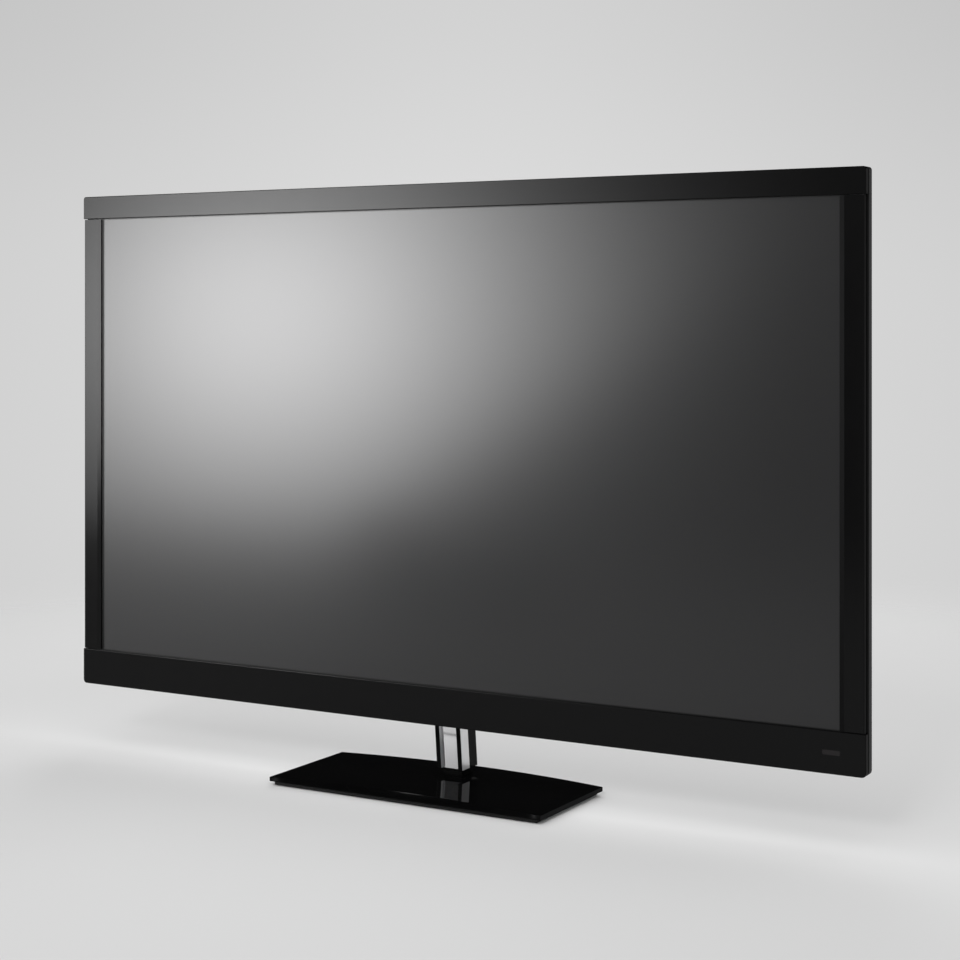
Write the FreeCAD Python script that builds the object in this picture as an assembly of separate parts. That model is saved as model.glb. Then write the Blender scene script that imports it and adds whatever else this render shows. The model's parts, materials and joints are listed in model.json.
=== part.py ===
import FreeCAD, Part
import math
import os

# A free-standing 55-inch flat screen television on a swivelling neck and a flat base.
# Millimetres. X runs along the screen, Y from front to back, Z up. The origin is on the
# floor, at the middle of the base. Depths are counted from the front face of the frame.

os.makedirs("parts", exist_ok=True)

V = FreeCAD.Vector
X_AXIS = V(1, 0, 0)
Y_AXIS = V(0, 1, 0)
Z_AXIS = V(0, 0, 1)

# Picture area and front frame
view_w = 1216.0
view_h = 680.4
lip_w = 6.5
pillar_face_w = 26.4
bar_overhang = 2.2
top_bar_h = 35.0
bottom_bar_h = 54.8
ground_gap = 95.5
frame_wall = 2.4
frame_side_depth = 8.4
frame_edge_r = 1.0
bar_inner_r = 0.9
top_corner_r = 4.0
bottom_corner_r = 6.0
seam_w = 1.2
lip_edge_depth = 1.2
rib_t = 1.5
bar_rib_count = 12
pillar_rib_pitch = 8.5

# Display stack, front to back
glass_recess = 3.0
glass_t = 1.4
glass_margin = 7.3
glass_gap = 0.3
gasket_t = 0.3
gasket_w = 5.0
carrier_t = 1.5
carrier_inset = 4.8
carrier_rim_t = 2.5
carrier_rim_end = 14.0
carrier_window_margin = 1.7
fence_t = 1.0
sheet_gap = 0.1
prism_t = 0.3
diffuser_t = 0.4
sheet_margin = 6.4
guide_t = 3.0
guide_margin = 6.0
reflector_t = 0.3
chassis_t = 1.0
chassis_side_inset = 9.1
bead_h = 2.0
bead_w = 20.0
bead_end_gap = 74.0
timing_bead_rise = 30.0
grille_bead_rise = 15.0
top_bead_drop = 75.0

# Edge lighting
led_count = 40
led_w = 5.6
led_h = 1.1
led_depth = 2.4
led_gap = 0.2
strip_t = 1.6
spreader_leg_t = 2.4
spreader_foot_t = 1.2
spreader_foot_l = 14.0

# Rear cover
cover_t = 2.4
cover_front = 12.4
cover_rim_depth = 26.0
cover_edge_r = 5.0
housing_depth = 40.0
housing_margin = 14.0
housing_z0 = 118.0
housing_z1 = 725.0
housing_corner_r = 26.0
housing_draft = 0.85
fit_gap = 0.3
boss_r = 6.0
boss_rib_t = 1.2
boss_rib_reach = 12.0
boss_rib_h = 6.0
screw_head_r = 4.0
screw_head_t = 2.4
screw_r = 2.0
screw_sink = 4.0
thread_gap = 0.05

# Wall mount
vesa_pitch = 400.0
vesa_hole_r = 3.0
vesa_boss_r = 7.0
vesa_hole_depth = 14.0

# Circuit boards
standoff_h = 5.0
standoff_r = 3.5
board_t = 1.6
board_screw_r = 1.5
board_head_r = 2.8
board_head_t = 1.8
board_screw_grip = 3.6
board_screw_inset = 6.0

board_gap = 5.0
main_board_w = 159.7
main_board_h = 209.7
power_board_w = 180.0
power_board_h = 220.0
power_board_inset = 3.0
power_board_rise = 24.0
timing_board_w = 250.0
timing_board_h = 55.0
timing_board_z0 = 470.0
source_board_start = 40.0
source_board_reach = 20.0
source_board_rise = 12.5
source_board_w = 12.0
source_board_t = 1.2
source_pad_t = 1.0
source_pad_w = 8.0
source_pad_count = 3
plug_wall = 2.0
plug_l = 6.0
ribbon_x = 99.0
ribbon_w = 25.0
ribbon_t = 0.3

# What stands on the boards: x, z, width, height and how far it stands out; a heat sink has
# no last number, and round ones have x, z, radius and how far they stand out
main_sink = (62.0, 88.0, 42.0, 42.0)
main_fin_count = 8
main_chips = ((112.0, 86.0, 16.0, 12.0, 1.2), (112.0, 104.0, 16.0, 12.0, 1.2),
              (40.0, 150.0, 34.0, 22.0, 1.6), (100.0, 24.0, 44.0, 26.0, 9.0),
              (84.0, 196.0, 40.0, 6.0, 5.0), (20.0, 196.0, 30.0, 6.0, 5.0))
main_cans = ((140.0, 140.0, 4.0, 8.0), (140.0, 158.0, 4.0, 8.0))
power_sink = (26.0, 96.0, 60.0, 26.0)
power_fin_count = 9
power_chips = ((62.0, 40.0, 42.0, 38.0, 16.0), (118.0, 44.0, 30.0, 30.0, 14.0),
               (24.0, 40.0, 20.0, 24.0, 13.0), (30.0, 150.0, 40.0, 34.0, 15.0),
               (90.0, 202.0, 50.0, 7.0, 6.0))
power_cans = ((124.0, 110.0, 11.0, 17.0), (150.0, 110.0, 11.0, 17.0), (136.0, 138.0, 9.0, 15.0),
              (96.0, 170.0, 6.0, 12.0), (114.0, 170.0, 6.0, 12.0))
timing_chips = ((112.0, 18.0, 24.0, 24.0, 1.6), (56.0, 20.0, 14.0, 14.0, 1.4),
                (168.0, 18.0, 26.0, 20.0, 2.2), (105.0, 46.0, 40.0, 5.0, 3.5))
sink_foot_t = 2.5
sink_fin_t = 1.6
sink_fin_h = 11.0

# Blank recess for a rating plate
label_w = 120.0
label_h = 70.0
label_x = 60.0
label_z0 = 485.0
label_sink = 0.4
label_corner_r = 4.0

# Vent grilles
upper_grille_w = 600.0
upper_grille_h = 40.0
upper_grille_z0 = 590.0
lower_grille_w = 320.0
lower_grille_h = 30.0
lower_grille_x = 20.0
lower_grille_z0 = 425.0
grille_slot_w = 4.0
grille_slot_pitch = 9.0
grille_margin = 5.0

# Speakers
speaker_gap = 9.0
speaker_end_gap = 14.0
speaker_rise = 10.5
speaker_h = 66.0
speaker_box_r = 3.0
driver_half_w = 34.0
driver_half_d = 4.5
driver_t = 6.0
driver_rim = 1.5
speaker_grille_half_w = 48.0
speaker_grille_half_d = 4.0
speaker_slot_count = 12
speaker_slot_w = 3.0
speaker_slot_margin = 1.5

# Cover screws
top_screw_steps = (-1.0, -0.5, 0.0, 0.5, 1.0)
top_screw_end = 43.1
side_screw_zs = (125.0, 250.0, 480.0, 700.0)
side_screw_inset = 25.1
low_screw_offset = 13.0
low_screw_rise = 22.0
top_screw_inset = 27.0

# Socket trays
tray_rise = 18.0
tray_h = 56.0
side_tray_w = 62.0
side_tray_h = 186.0
side_tray_rise = 17.0
lower_tray_w = 145.0
lower_tray_inset = 11.7
power_tray_w = 60.0
power_tray_inset = 25.0
tray_t = 2.0
tray_floor = 15.5
socket_l = 14.0
shell_t = 0.6
socket_back_t = 2.0
tongue_inset = 1.5
hdmi_size = (15.0, 6.0, 1.0)
usb_size = (14.4, 7.0, 1.8)
hdmi_rises = (23.0, 48.0, 73.0)
usb_rises = (101.0, 125.0)
lan_offset = 17.0
lan_size = (16.0, 13.5)
lan_l = 16.0
lan_wall = 2.1
optical_offset = 40.0
optical_size = 10.0
optical_chamfer = 1.5
jack_offsets = (58.0, 73.0, 88.0)
jack_r = 4.2
jack_reach = 6.0
jack_tall = 13.0
antenna_offset = 115.0
antenna_r = 4.7
antenna_reach = 10.0
antenna_tall = 15.0
jack_flange = 2.0
jack_bore_ratio = 2.6
jack_bore_l = 4.0
inlet_mid = 27.0
inlet_half_w = 14.5
inlet_half_d = 10.0
inlet_l = 20.0
inlet_wall_w = 2.2
inlet_wall_d = 1.6
inlet_back_t = 3.0
inlet_chamfer = 4.0
blade_offset = 7.0
blade_rise = 1.0
earth_drop = 3.0
blade_inset = 2.5
blade_w = 4.0
blade_t = 2.0

# Keys
key_names = ("power_key", "input_key", "menu_key", "channel_up_key", "channel_down_key",
             "volume_up_key", "volume_down_key")
key_pitch = 20.0
key_w = 9.0
key_h = 12.0
key_proud = 1.5
key_travel = 1.2
key_flange_t = 1.2
key_flange_w = 1.5
key_stem_l = 4.7
key_inset = 83.1
key_first_z = 340.0
key_edge_r = 0.8
key_post_r = 3.0
key_post_offset = 14.0
key_board_t = 1.2
key_board_back = 17.2
key_board_half_w = 12.0
key_board_margin = 5.0
switch_half_w = 3.0
plunger_r = 1.6
plunger_l = 0.4

# Infrared window
window_w = 24.0
window_h = 6.5
window_r = 2.0
window_inset = 46.1
lens_front = 0.3
ir_board_t = 1.0
ir_board_half_w = 13.0
ir_board_half_h = 7.0
ir_cell_w = 6.0
ir_cell_h = 5.0

# Neck
neck_lean = 0.104
neck_ref_z = 40.0
core_front = 60.2
core_half_w = 14.0
core_t = 15.6
core_top = 245.0
core_edge_r = 2.0
core_screw_zs = (165.0, 215.0)
core_screw_r = 3.0
core_head_r = 5.0
core_head_t = 4.0
fin_t = 7.4
fin_lead = 5.8
fin_top = 165.0
fin_edge_r = 0.6
shroud_depth = 23.9
shroud_t = 2.2
shroud_top = 262.0
shroud_top_t = 8.0
shroud_knee = 10.0
shroud_edge_r = 3.0
bracket_t = 4.0
bracket_half_w = 62.0
bracket_z0 = 125.0
bracket_z1 = 245.0
bracket_screw_x = 45.0
bracket_screw_inset = 20.0
bracket_screw_r = 2.5
bracket_head_r = 4.5
bracket_head_t = 3.0
bracket_corner_r = 8.0
gusset_inset = 6.0
gusset_x = 23.0
gusset_t = 5.0
gusset_h = 5.0
gusset_run = 8.0
lid_inset = 2.0
lid_slot_gap = 0.6
pocket_half_w = 78.0
pocket_top = 268.0
pocket_drop = 20.0
receiver_t = 1.5
receiver_half_w = 70.0
receiver_flange_w = 14.0
receiver_overhang = (4.0, 8.0)
nut_r = 5.0
nut_l = 6.0

# Swivel
swivel_depth = 79.5
shaft_r = 7.0
running_gap = 0.05
bush_t = 1.5
foot_half_w = 16.0
foot_half_d = 13.3
foot_t = 4.7
foot_screw_x = 11.0
foot_screw_depth = 72.0
foot_screw_r = 2.5
foot_head_r = 4.5
foot_head_t = 2.5
foot_screw_grip = 18.0
thrust_t = 0.4
thrust_r = 12.0
collar_half_w = 16.5
collar_half_d = 13.8
collar_h = 4.6
collar_edge_r = 0.8
spigot_r = 12.7
collar_screw_pcr = 10.6
collar_screw_r = 1.5
retainer_r = 30.0
retainer_t = 1.4
retainer_screw_r = 2.65
friction_t = 0.5
recess_gap = 2.0
web_t = 1.8
block_corner_r = 2.0
collar_screw_cap = 1.6
collar_head_r = 2.8
collar_head_t = 1.0
retainer_head_r = 5.0
retainer_head_t = 0.6

# Base
base_depth = 208.8
base_lead = 79.5
base_half_w = 221.5
base_top_z = 12.0
base_plate_t = 6.0
base_edge_t = 1.2
facet_rise = 19.0
back_bow = 22.6
tape_t = 0.4
tape_w = 10.0
tape_inset = 40.0
under_plate_t = 4.4
under_plate_inset = 3.0
under_plate_side_inset = 7.0
foot_pad_r = 9.5
foot_pad_t = 1.6
foot_pad_sink = 0.4
foot_pad_margin = 16.0

# Places worked out from the sizes above
front_y = base_lead - base_depth / 2
half_view = view_w / 2
half_pillar = half_view + lip_w + pillar_face_w
half_frame = half_pillar + bar_overhang
frame_z0 = ground_gap
view_z0 = frame_z0 + bottom_bar_h
view_z1 = view_z0 + view_h
frame_z1 = view_z1 + top_bar_h
frame_mid_z = (frame_z0 + frame_z1) / 2
glass_back = glass_recess + glass_t
carrier_front = glass_back + gasket_t
carrier_back = carrier_front + carrier_t
prism_front = carrier_back + sheet_gap
diffuser_front = prism_front + prism_t + sheet_gap
guide_front = diffuser_front + diffuser_t + sheet_gap
guide_back = guide_front + guide_t
reflector_front = guide_back + sheet_gap
chassis_front = reflector_front + reflector_t + sheet_gap
chassis_back = chassis_front + chassis_t
board_front = chassis_back + standoff_h
board_back = board_front + board_t
panel_inner = cover_rim_depth - cover_t
housing_inner = housing_depth - cover_t
half_chassis = half_frame - chassis_side_inset
chassis_z0 = frame_z0 + chassis_side_inset
chassis_z1 = frame_z1 - chassis_side_inset
core_rear = core_front + core_t
swivel_y = front_y + swivel_depth
foot_screw_y = front_y + foot_screw_depth
speaker_mid_d = (carrier_rim_end + panel_inner) / 2
under_plate_top = base_top_z - base_plate_t - tape_t
under_plate_z0 = under_plate_top - under_plate_t
collar_top = base_top_z + collar_h
foot_z0 = collar_top + thrust_t
neck_z0 = foot_z0 + foot_t
bush_r = shaft_r + running_gap + bush_t
web_z = under_plate_top - web_t
retainer_z1 = web_z - friction_t
retainer_z0 = retainer_z1 - retainer_t

# Board, tray, grille and speaker places: x from, x to, z from, z to
tray_clear = tray_t + fit_gap
tray_z0 = housing_z0 + tray_rise
tray_z1 = tray_z0 + tray_h
inner_x = vesa_pitch / 2 + vesa_boss_r + board_gap
main_board_area = (-inner_x - main_board_w, -inner_x, tray_z1 + tray_clear,
                   tray_z1 + tray_clear + main_board_h)
side_tray_x1 = main_board_area[0] - tray_clear
side_tray_area = (side_tray_x1 - side_tray_w, side_tray_x1, tray_z1 + side_tray_rise,
                  tray_z1 + side_tray_rise + side_tray_h)
half_housing = housing_margin - side_tray_area[0]
lower_tray_x0 = main_board_area[0] + lower_tray_inset
lower_tray_area = (lower_tray_x0, lower_tray_x0 + lower_tray_w, tray_z0, tray_z1)
power_board_x0 = inner_x + power_board_inset
power_board_area = (power_board_x0, power_board_x0 + power_board_w, tray_z1 + power_board_rise,
                    tray_z1 + power_board_rise + power_board_h)
power_tray_x0 = power_board_area[0] + power_tray_inset
power_tray_area = (power_tray_x0, power_tray_x0 + power_tray_w, tray_z0, tray_z1)
timing_board_area = (-timing_board_w / 2, timing_board_w / 2, timing_board_z0,
                     timing_board_z0 + timing_board_h)
upper_grille_area = (-upper_grille_w / 2, upper_grille_w / 2, upper_grille_z0,
                     upper_grille_z0 + upper_grille_h)
lower_grille_area = (lower_grille_x - lower_grille_w / 2, lower_grille_x + lower_grille_w / 2,
                     lower_grille_z0, lower_grille_z0 + lower_grille_h)
side_screw_x = half_frame - side_screw_inset
key_x = key_inset - half_frame
window_x = half_frame - window_inset
low_screw_x = half_housing + low_screw_offset
low_screw_z = housing_z0 + low_screw_rise
top_screw_z = frame_z1 - top_screw_inset
speaker_area = (low_screw_x + boss_r + speaker_gap, side_screw_x - boss_r - speaker_end_gap,
                frame_z0 + speaker_rise, frame_z0 + speaker_rise + speaker_h)
speaker_mid_x = (speaker_area[0] + speaker_area[1]) / 2
hdmi_zs = [side_tray_area[2] + rise for rise in hdmi_rises]
usb_zs = [side_tray_area[2] + rise for rise in usb_rises]
lan_x = lower_tray_area[0] + lan_offset
optical_x = lower_tray_area[0] + optical_offset
jack_xs = [lower_tray_area[0] + offset for offset in jack_offsets]
antenna_x = lower_tray_area[0] + antenna_offset
socket_z = lower_tray_area[3]
inlet_x = (power_tray_area[0] + power_tray_area[1]) / 2

source_board_x = (source_board_start, half_housing + source_board_reach)
source_board_z = (frame_z0 + source_board_rise, frame_z0 + source_board_rise + source_board_w)
source_board_d = (chassis_back + source_pad_t, chassis_back + source_pad_t + source_board_t)

cover_screw_spots = [(i * (half_frame - top_screw_end), top_screw_z) for i in top_screw_steps]
cover_screw_spots += [(s * side_screw_x, z) for s in (-1, 1) for z in side_screw_zs]
cover_screw_spots += [(s * low_screw_x, low_screw_z) for s in (-1, 1)]
vesa_spots = [(sx * vesa_pitch / 2, frame_mid_z + sz * vesa_pitch / 2)
              for sx in (-1, 1) for sz in (-1, 1)]
bracket_spots = [(s * bracket_screw_x, z) for s in (-1, 1)
                 for z in (bracket_z0 + bracket_screw_inset, bracket_z1 - bracket_screw_inset)]


# Shape helpers

def slab(x0, x1, d0, d1, z0, z1):
    """A box from two x, two depths behind the frame's face and two heights."""
    return Part.makeBox(x1 - x0, d1 - d0, z1 - z0, V(x0, front_y + d0, z0))


def drum(x, z, d0, d1, r):
    """A cylinder along the depth."""
    return Part.makeCylinder(r, d1 - d0, V(x, front_y + d0, z), Y_AXIS)


def post(x, y, z0, z1, r):
    """An upright cylinder."""
    return Part.makeCylinder(r, z1 - z0, V(x, y, z0), Z_AXIS)


def prism(points, x0, x1):
    """An outline of (depth, height) points pulled along X."""
    ring = [V(x0, front_y + d, z) for d, z in points + points[:1]]
    return Part.Face(Part.makePolygon(ring)).extrude(V(x1 - x0, 0, 0))


def edges_along(shape, axis, keep=lambda p: True):
    """The straight edges that run along an axis and whose middle passes the test."""
    found = []
    for edge in shape.Edges:
        if len(edge.Vertexes) != 2:
            continue
        run = edge.Vertexes[1].Point - edge.Vertexes[0].Point
        if run.Length < 1e-6 or abs(run.Length - edge.Length) > 1e-6:
            continue
        if abs(run.dot(axis)) > 0.999 * run.Length and keep(edge.CenterOfMass):
            found.append(edge)
    return found


def plate(x0, x1, z0, z1, d0, d1, r):
    """A slab whose four corners, seen from the front, are rounded."""
    blank = slab(x0, x1, d0, d1, z0, z1)
    return blank.makeFillet(r, edges_along(blank, Y_AXIS))


def fuse(shapes):
    """One solid from touching or overlapping shapes, with no leftover seams."""
    return shapes[0].multiFuse(shapes[1:]).removeSplitter()


def screws(spots, d_head, head_t, head_r, r, length):
    """Screws along the depth, whose heads stand behind d_head and whose shanks run forward."""
    made = []
    for x, z in spots:
        head = drum(x, z, d_head, d_head + head_t, head_r)
        made.append(head.fuse(drum(x, z, d_head - length, d_head, r)))
    return made


def neck_depth(at_ref, z):
    """The depth of a leaning neck face that lies at at_ref at the neck's reference height."""
    return at_ref - neck_lean * (z - neck_ref_z)


def save(name, shapes):
    """Write one node, as one solid or a group of separate solids."""
    solids = [s for shape in shapes for s in shape.Solids]
    shape = solids[0] if len(solids) == 1 else Part.makeCompound(solids)
    shape.exportStep("parts/" + name + ".step")


# Front frame

def bar(z0, z1, view_edge_z, corner_r):
    """A moulded channel across the top or bottom of the frame."""
    outer_z = z0 if view_edge_z == z1 else z1
    blank = slab(-half_frame, half_frame, 0, frame_side_depth, z0, z1)
    corners = edges_along(blank, Y_AXIS, lambda p: abs(p.z - outer_z) < 0.1)
    blank = blank.makeFillet(corner_r, corners)
    front = [e for e in blank.Edges
             if all(abs(v.Y - front_y) < 1e-6 for v in e.Vertexes)
             and abs(e.CenterOfMass.z - view_edge_z) > 0.1]
    blank = blank.makeFillet(frame_edge_r, front)
    inner = edges_along(blank, X_AXIS,
                        lambda p: abs(p.z - view_edge_z) < 0.1 and abs(p.y - front_y) < 0.1)
    blank = blank.makeFillet(bar_inner_r, inner)
    pocket = plate(-half_frame + frame_wall, half_frame - frame_wall, z0 + frame_wall,
                   z1 - frame_wall, frame_wall, frame_side_depth + 1, corner_r - frame_wall)
    inward = 1 if view_edge_z == z0 else -1
    flange = sorted((view_edge_z - inward, view_edge_z + inward * (corner_r + 0.5)))
    relief = slab(-half_frame + frame_wall, half_frame - frame_wall, glass_recess - glass_gap,
                  frame_side_depth + 1, flange[0], flange[1])
    body = blank.cut(pocket).cut(relief)
    glass_clear = glass_margin + fence_t + 2 * glass_gap + 0.6
    ends = sorted((view_edge_z + inward * glass_clear, outer_z - inward * frame_wall))
    pitch = (2 * half_frame - 2 * pillar_face_w) / (bar_rib_count - 1)
    ribs = []
    for i in range(bar_rib_count):
        x = -half_frame + pillar_face_w + i * pitch
        ribs.append(slab(x - rib_t / 2, x + rib_t / 2, frame_wall, carrier_front, ends[0], ends[1]))
    return fuse([body] + ribs)


def window_slot(grow, d0, d1):
    """The rounded infrared opening in the bottom bar, or what fills it."""
    mid_z = frame_z0 + bottom_bar_h / 2
    return plate(window_x - window_w / 2 - grow, window_x + window_w / 2 + grow,
                 mid_z - window_h / 2 - grow, mid_z + window_h / 2 + grow, d0, d1, window_r)


def pillar(side):
    """An upright of the frame, with a lip that slopes down to the glass."""
    seat = glass_recess - glass_gap
    outline = [(half_view, seat), (half_view, lip_edge_depth), (half_view + lip_w, 0),
               (half_pillar, 0), (half_pillar, frame_side_depth),
               (half_pillar - frame_wall, frame_side_depth), (half_pillar - frame_wall, frame_wall),
               (half_view + glass_margin + 2, frame_wall), (half_view + glass_margin + 2, seat)]
    z0 = view_z0 + seam_w
    ring = [V(side * x, front_y + d, z0) for x, d in outline + outline[:1]]
    body = Part.Face(Part.makePolygon(ring)).extrude(V(0, 0, view_h - 2 * seam_w))
    outer = edges_along(body, Z_AXIS, lambda p: abs(p.y - front_y) < 0.1
                        and abs(abs(p.x) - half_pillar) < 0.1)
    body = body.makeFillet(frame_edge_r, outer)
    ribs = []
    for x in [half_pillar - frame_wall - i * pillar_rib_pitch for i in (1, 2)]:
        xs = sorted((side * x, side * (x + rib_t)))
        ribs.append(slab(xs[0], xs[1], frame_wall, carrier_front, z0, view_z1 - seam_w))
    return fuse([body] + ribs)


def inner_frame():
    """The carrier that the four front pieces, the glass and the sheets seat on."""
    half = half_frame - carrier_inset
    z0 = frame_z0 + carrier_inset
    z1 = frame_z1 - carrier_inset
    ring = plate(-half, half, z0, z1, carrier_front, carrier_rim_end, carrier_inset)
    hollow = slab(-half + carrier_rim_t, half - carrier_rim_t, carrier_back, carrier_rim_end + 1,
                  z0 + carrier_rim_t, z1 - carrier_rim_t)
    m = carrier_window_margin
    window = slab(-half_view - m, half_view + m, 0, carrier_back + 1, view_z0 - m, view_z1 + m)
    fence_in = glass_margin + glass_gap
    fence_out = fence_in + fence_t
    fence = slab(-half_view - fence_out, half_view + fence_out, glass_recess, carrier_front,
                 view_z0 - fence_out, view_z1 + fence_out)
    fence = fence.cut(slab(-half_view - fence_in, half_view + fence_in, 0, carrier_front + 1,
                           view_z0 - fence_in, view_z1 + fence_in))
    return fuse([ring.cut(hollow).cut(window), fence])


save("top_bar", [bar(view_z1, frame_z1, view_z1, top_corner_r)])
save("bottom_bar", [bar(frame_z0, view_z0, view_z0, bottom_corner_r)
                    .cut(window_slot(0, -1, frame_wall + 1))])
save("left_pillar", [pillar(-1)])
save("right_pillar", [pillar(1)])
save("inner_frame", [inner_frame()])

# Infrared window and its board
ir_mid_z = frame_z0 + bottom_bar_h / 2
ir_board_front = carrier_front - ir_board_t
ir_board = slab(window_x - ir_board_half_w, window_x + ir_board_half_w, ir_board_front,
                carrier_front, ir_mid_z - ir_board_half_h, ir_mid_z + ir_board_half_h)
ir_cell_x = window_x + ir_board_half_w / 3
ir_cell = slab(ir_cell_x - ir_cell_w / 2, ir_cell_x + ir_cell_w / 2, frame_wall + sheet_gap,
               ir_board_front, ir_mid_z - ir_cell_h / 2, ir_mid_z + ir_cell_h / 2)
save("ir_window", [window_slot(-thread_gap, lens_front, frame_wall)])
save("ir_board", [ir_board, ir_cell])


# Display stack

def sheet(margin, d0, t):
    """A flat sheet that reaches past the picture area by a margin on every side."""
    return slab(-half_view - margin, half_view + margin, d0, d0 + t, view_z0 - margin,
                view_z1 + margin)


save("display_glass", [sheet(glass_margin, glass_recess, glass_t)])
gasket_inner = glass_margin - gasket_w
save("panel_gasket", [sheet(glass_margin, glass_back, gasket_t)
                      .cut(sheet(gasket_inner, glass_back - 1, gasket_t + 2))])
save("optical_sheets", [sheet(sheet_margin, prism_front, prism_t),
                        sheet(sheet_margin, diffuser_front, diffuser_t)])
save("light_guide", [sheet(guide_margin, guide_front, guide_t)])
save("reflector_sheet", [sheet(guide_margin, reflector_front, reflector_t)])


def light_edge(edge_z, outward):
    """The lamps, their strip and the heat spreader along one long edge of the light guide."""
    def band(a, b):
        return sorted((edge_z + outward * a, edge_z + outward * b))
    half = half_view + guide_margin
    lamps = []
    pitch = 2 * half / led_count
    mid = (guide_front + guide_back) / 2
    zs = band(led_gap, led_gap + led_h)
    for i in range(led_count):
        x = -half + (i + 0.5) * pitch
        lamps.append(slab(x - led_w / 2, x + led_w / 2, mid - led_depth / 2, mid + led_depth / 2,
                          zs[0], zs[1]))
    zs = band(led_gap + led_h, led_gap + led_h + strip_t)
    strip = slab(-half, half, guide_front, guide_back, zs[0], zs[1])
    leg_z = led_gap + led_h + strip_t
    zs = band(leg_z, leg_z + spreader_leg_t)
    leg = slab(-half, half, carrier_back + sheet_gap, chassis_front, zs[0], zs[1])
    zs = band(leg_z, leg_z + spreader_foot_l)
    foot = slab(-half, half, chassis_front - spreader_foot_t, chassis_front, zs[0], zs[1])
    return [strip] + lamps, [fuse([leg, foot])]


upper_strip, upper_spreader = light_edge(view_z1 + guide_margin, 1)
lower_strip, lower_spreader = light_edge(view_z0 - guide_margin, -1)
save("led_strips", upper_strip + lower_strip)
save("heat_spreaders", upper_spreader + lower_spreader)


def board_screw_spots(area):
    """The four corner screws of a board."""
    x0, x1, z0, z1 = area
    i = board_screw_inset
    return [(x, z) for x in (x0 + i, x1 - i) for z in (z0 + i, z1 - i)]


all_board_spots = [s for a in (main_board_area, power_board_area, timing_board_area)
                   for s in board_screw_spots(a)]


def chassis():
    """The steel tray behind the sheets, with pressed beads, drawn standoffs and threaded holes."""
    tray = slab(-half_chassis, half_chassis, carrier_back, chassis_back, chassis_z0, chassis_z1)
    tray = tray.cut(slab(-half_chassis + chassis_t, half_chassis - chassis_t, 0, chassis_front,
                         chassis_z0 + chassis_t, chassis_z1 - chassis_t))
    bead_x = half_chassis - bead_end_gap
    for z in (timing_board_area[3] + timing_bead_rise, upper_grille_area[3] + grille_bead_rise,
              chassis_z1 - top_bead_drop):
        crest = plate(-bead_x, bead_x, z - bead_w / 2, z + bead_w / 2, chassis_back - 0.1,
                      chassis_back + bead_h, bead_w / 3)
        trough = plate(-bead_x + chassis_t, bead_x - chassis_t, z - bead_w / 2 + chassis_t,
                       z + bead_w / 2 - chassis_t, 0, chassis_back + bead_h - chassis_t,
                       bead_w / 3 - chassis_t)
        tray = fuse([tray, crest]).cut(trough)
    tray = fuse([tray] + [drum(x, z, chassis_back - 0.1, board_front, standoff_r)
                          for x, z in all_board_spots])
    for x, z in all_board_spots:
        tray = tray.cut(drum(x, z, board_front - board_screw_grip - 0.4, board_front + 1,
                             board_screw_r + thread_gap))
    for x, z in cover_screw_spots:
        tray = tray.cut(drum(x, z, 0, chassis_back + 1, screw_r + thread_gap))
    return tray


save("chassis", [chassis()])


def vesa_insert(x, z):
    """A steel boss on the chassis with a threaded blind hole for a wall bracket."""
    end = housing_depth - 0.5
    return drum(x, z, chassis_back, end, vesa_boss_r).cut(
        drum(x, z, end - vesa_hole_depth, end + 1, vesa_hole_r))


save("vesa_inserts", [vesa_insert(x, z) for x, z in vesa_spots])


# Circuit boards

def bare_board(area):
    x0, x1, z0, z1 = area
    blank = slab(x0, x1, board_front, board_back, z0, z1)
    for x, z in board_screw_spots(area):
        blank = blank.cut(drum(x, z, board_front - 1, board_back + 1, board_screw_r + thread_gap))
    return blank


def chip(area, x, z, w, h, tall):
    """A box-shaped component at x, z from the board's lower left corner."""
    return slab(area[0] + x, area[0] + x + w, board_back, board_back + tall, area[2] + z,
                area[2] + z + h)


def can(area, x, z, r, tall):
    """A round component, such as a capacitor."""
    return drum(area[0] + x, area[2] + z, board_back, board_back + tall, r)


def heat_sink(area, x, z, w, h, fins):
    """A flat foot with upright fins."""
    foot = chip(area, x, z, w, h, sink_foot_t)
    pitch = (w - sink_fin_t) / (fins - 1)
    blades = [chip(area, x + i * pitch, z, sink_fin_t, h, sink_fin_h) for i in range(fins)]
    return fuse([foot] + blades)


def dressed_board(area, chips, cans=()):
    """A board with the components that stand on it."""
    return [bare_board(area)] + [chip(area, *c) for c in chips] + [can(area, *c) for c in cans]


def ribbon_plug(side):
    """The plug under the timing board that a ribbon cable ends in."""
    x, z0 = side * ribbon_x, timing_board_area[2] + plug_wall
    return slab(x - ribbon_w / 2, x + ribbon_w / 2, chassis_back + ribbon_t, board_front, z0,
                z0 + plug_l)


save("main_board", dressed_board(main_board_area, main_chips, main_cans)
     + [heat_sink(main_board_area, *main_sink, main_fin_count)])
save("power_board", dressed_board(power_board_area, power_chips, power_cans)
     + [heat_sink(power_board_area, *power_sink, power_fin_count)])
save("timing_board", dressed_board(timing_board_area, timing_chips)
     + [ribbon_plug(-1), ribbon_plug(1)])

save("board_screws", screws(all_board_spots, board_back, board_head_t, board_head_r,
                            board_screw_r, board_t + board_screw_grip))


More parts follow.
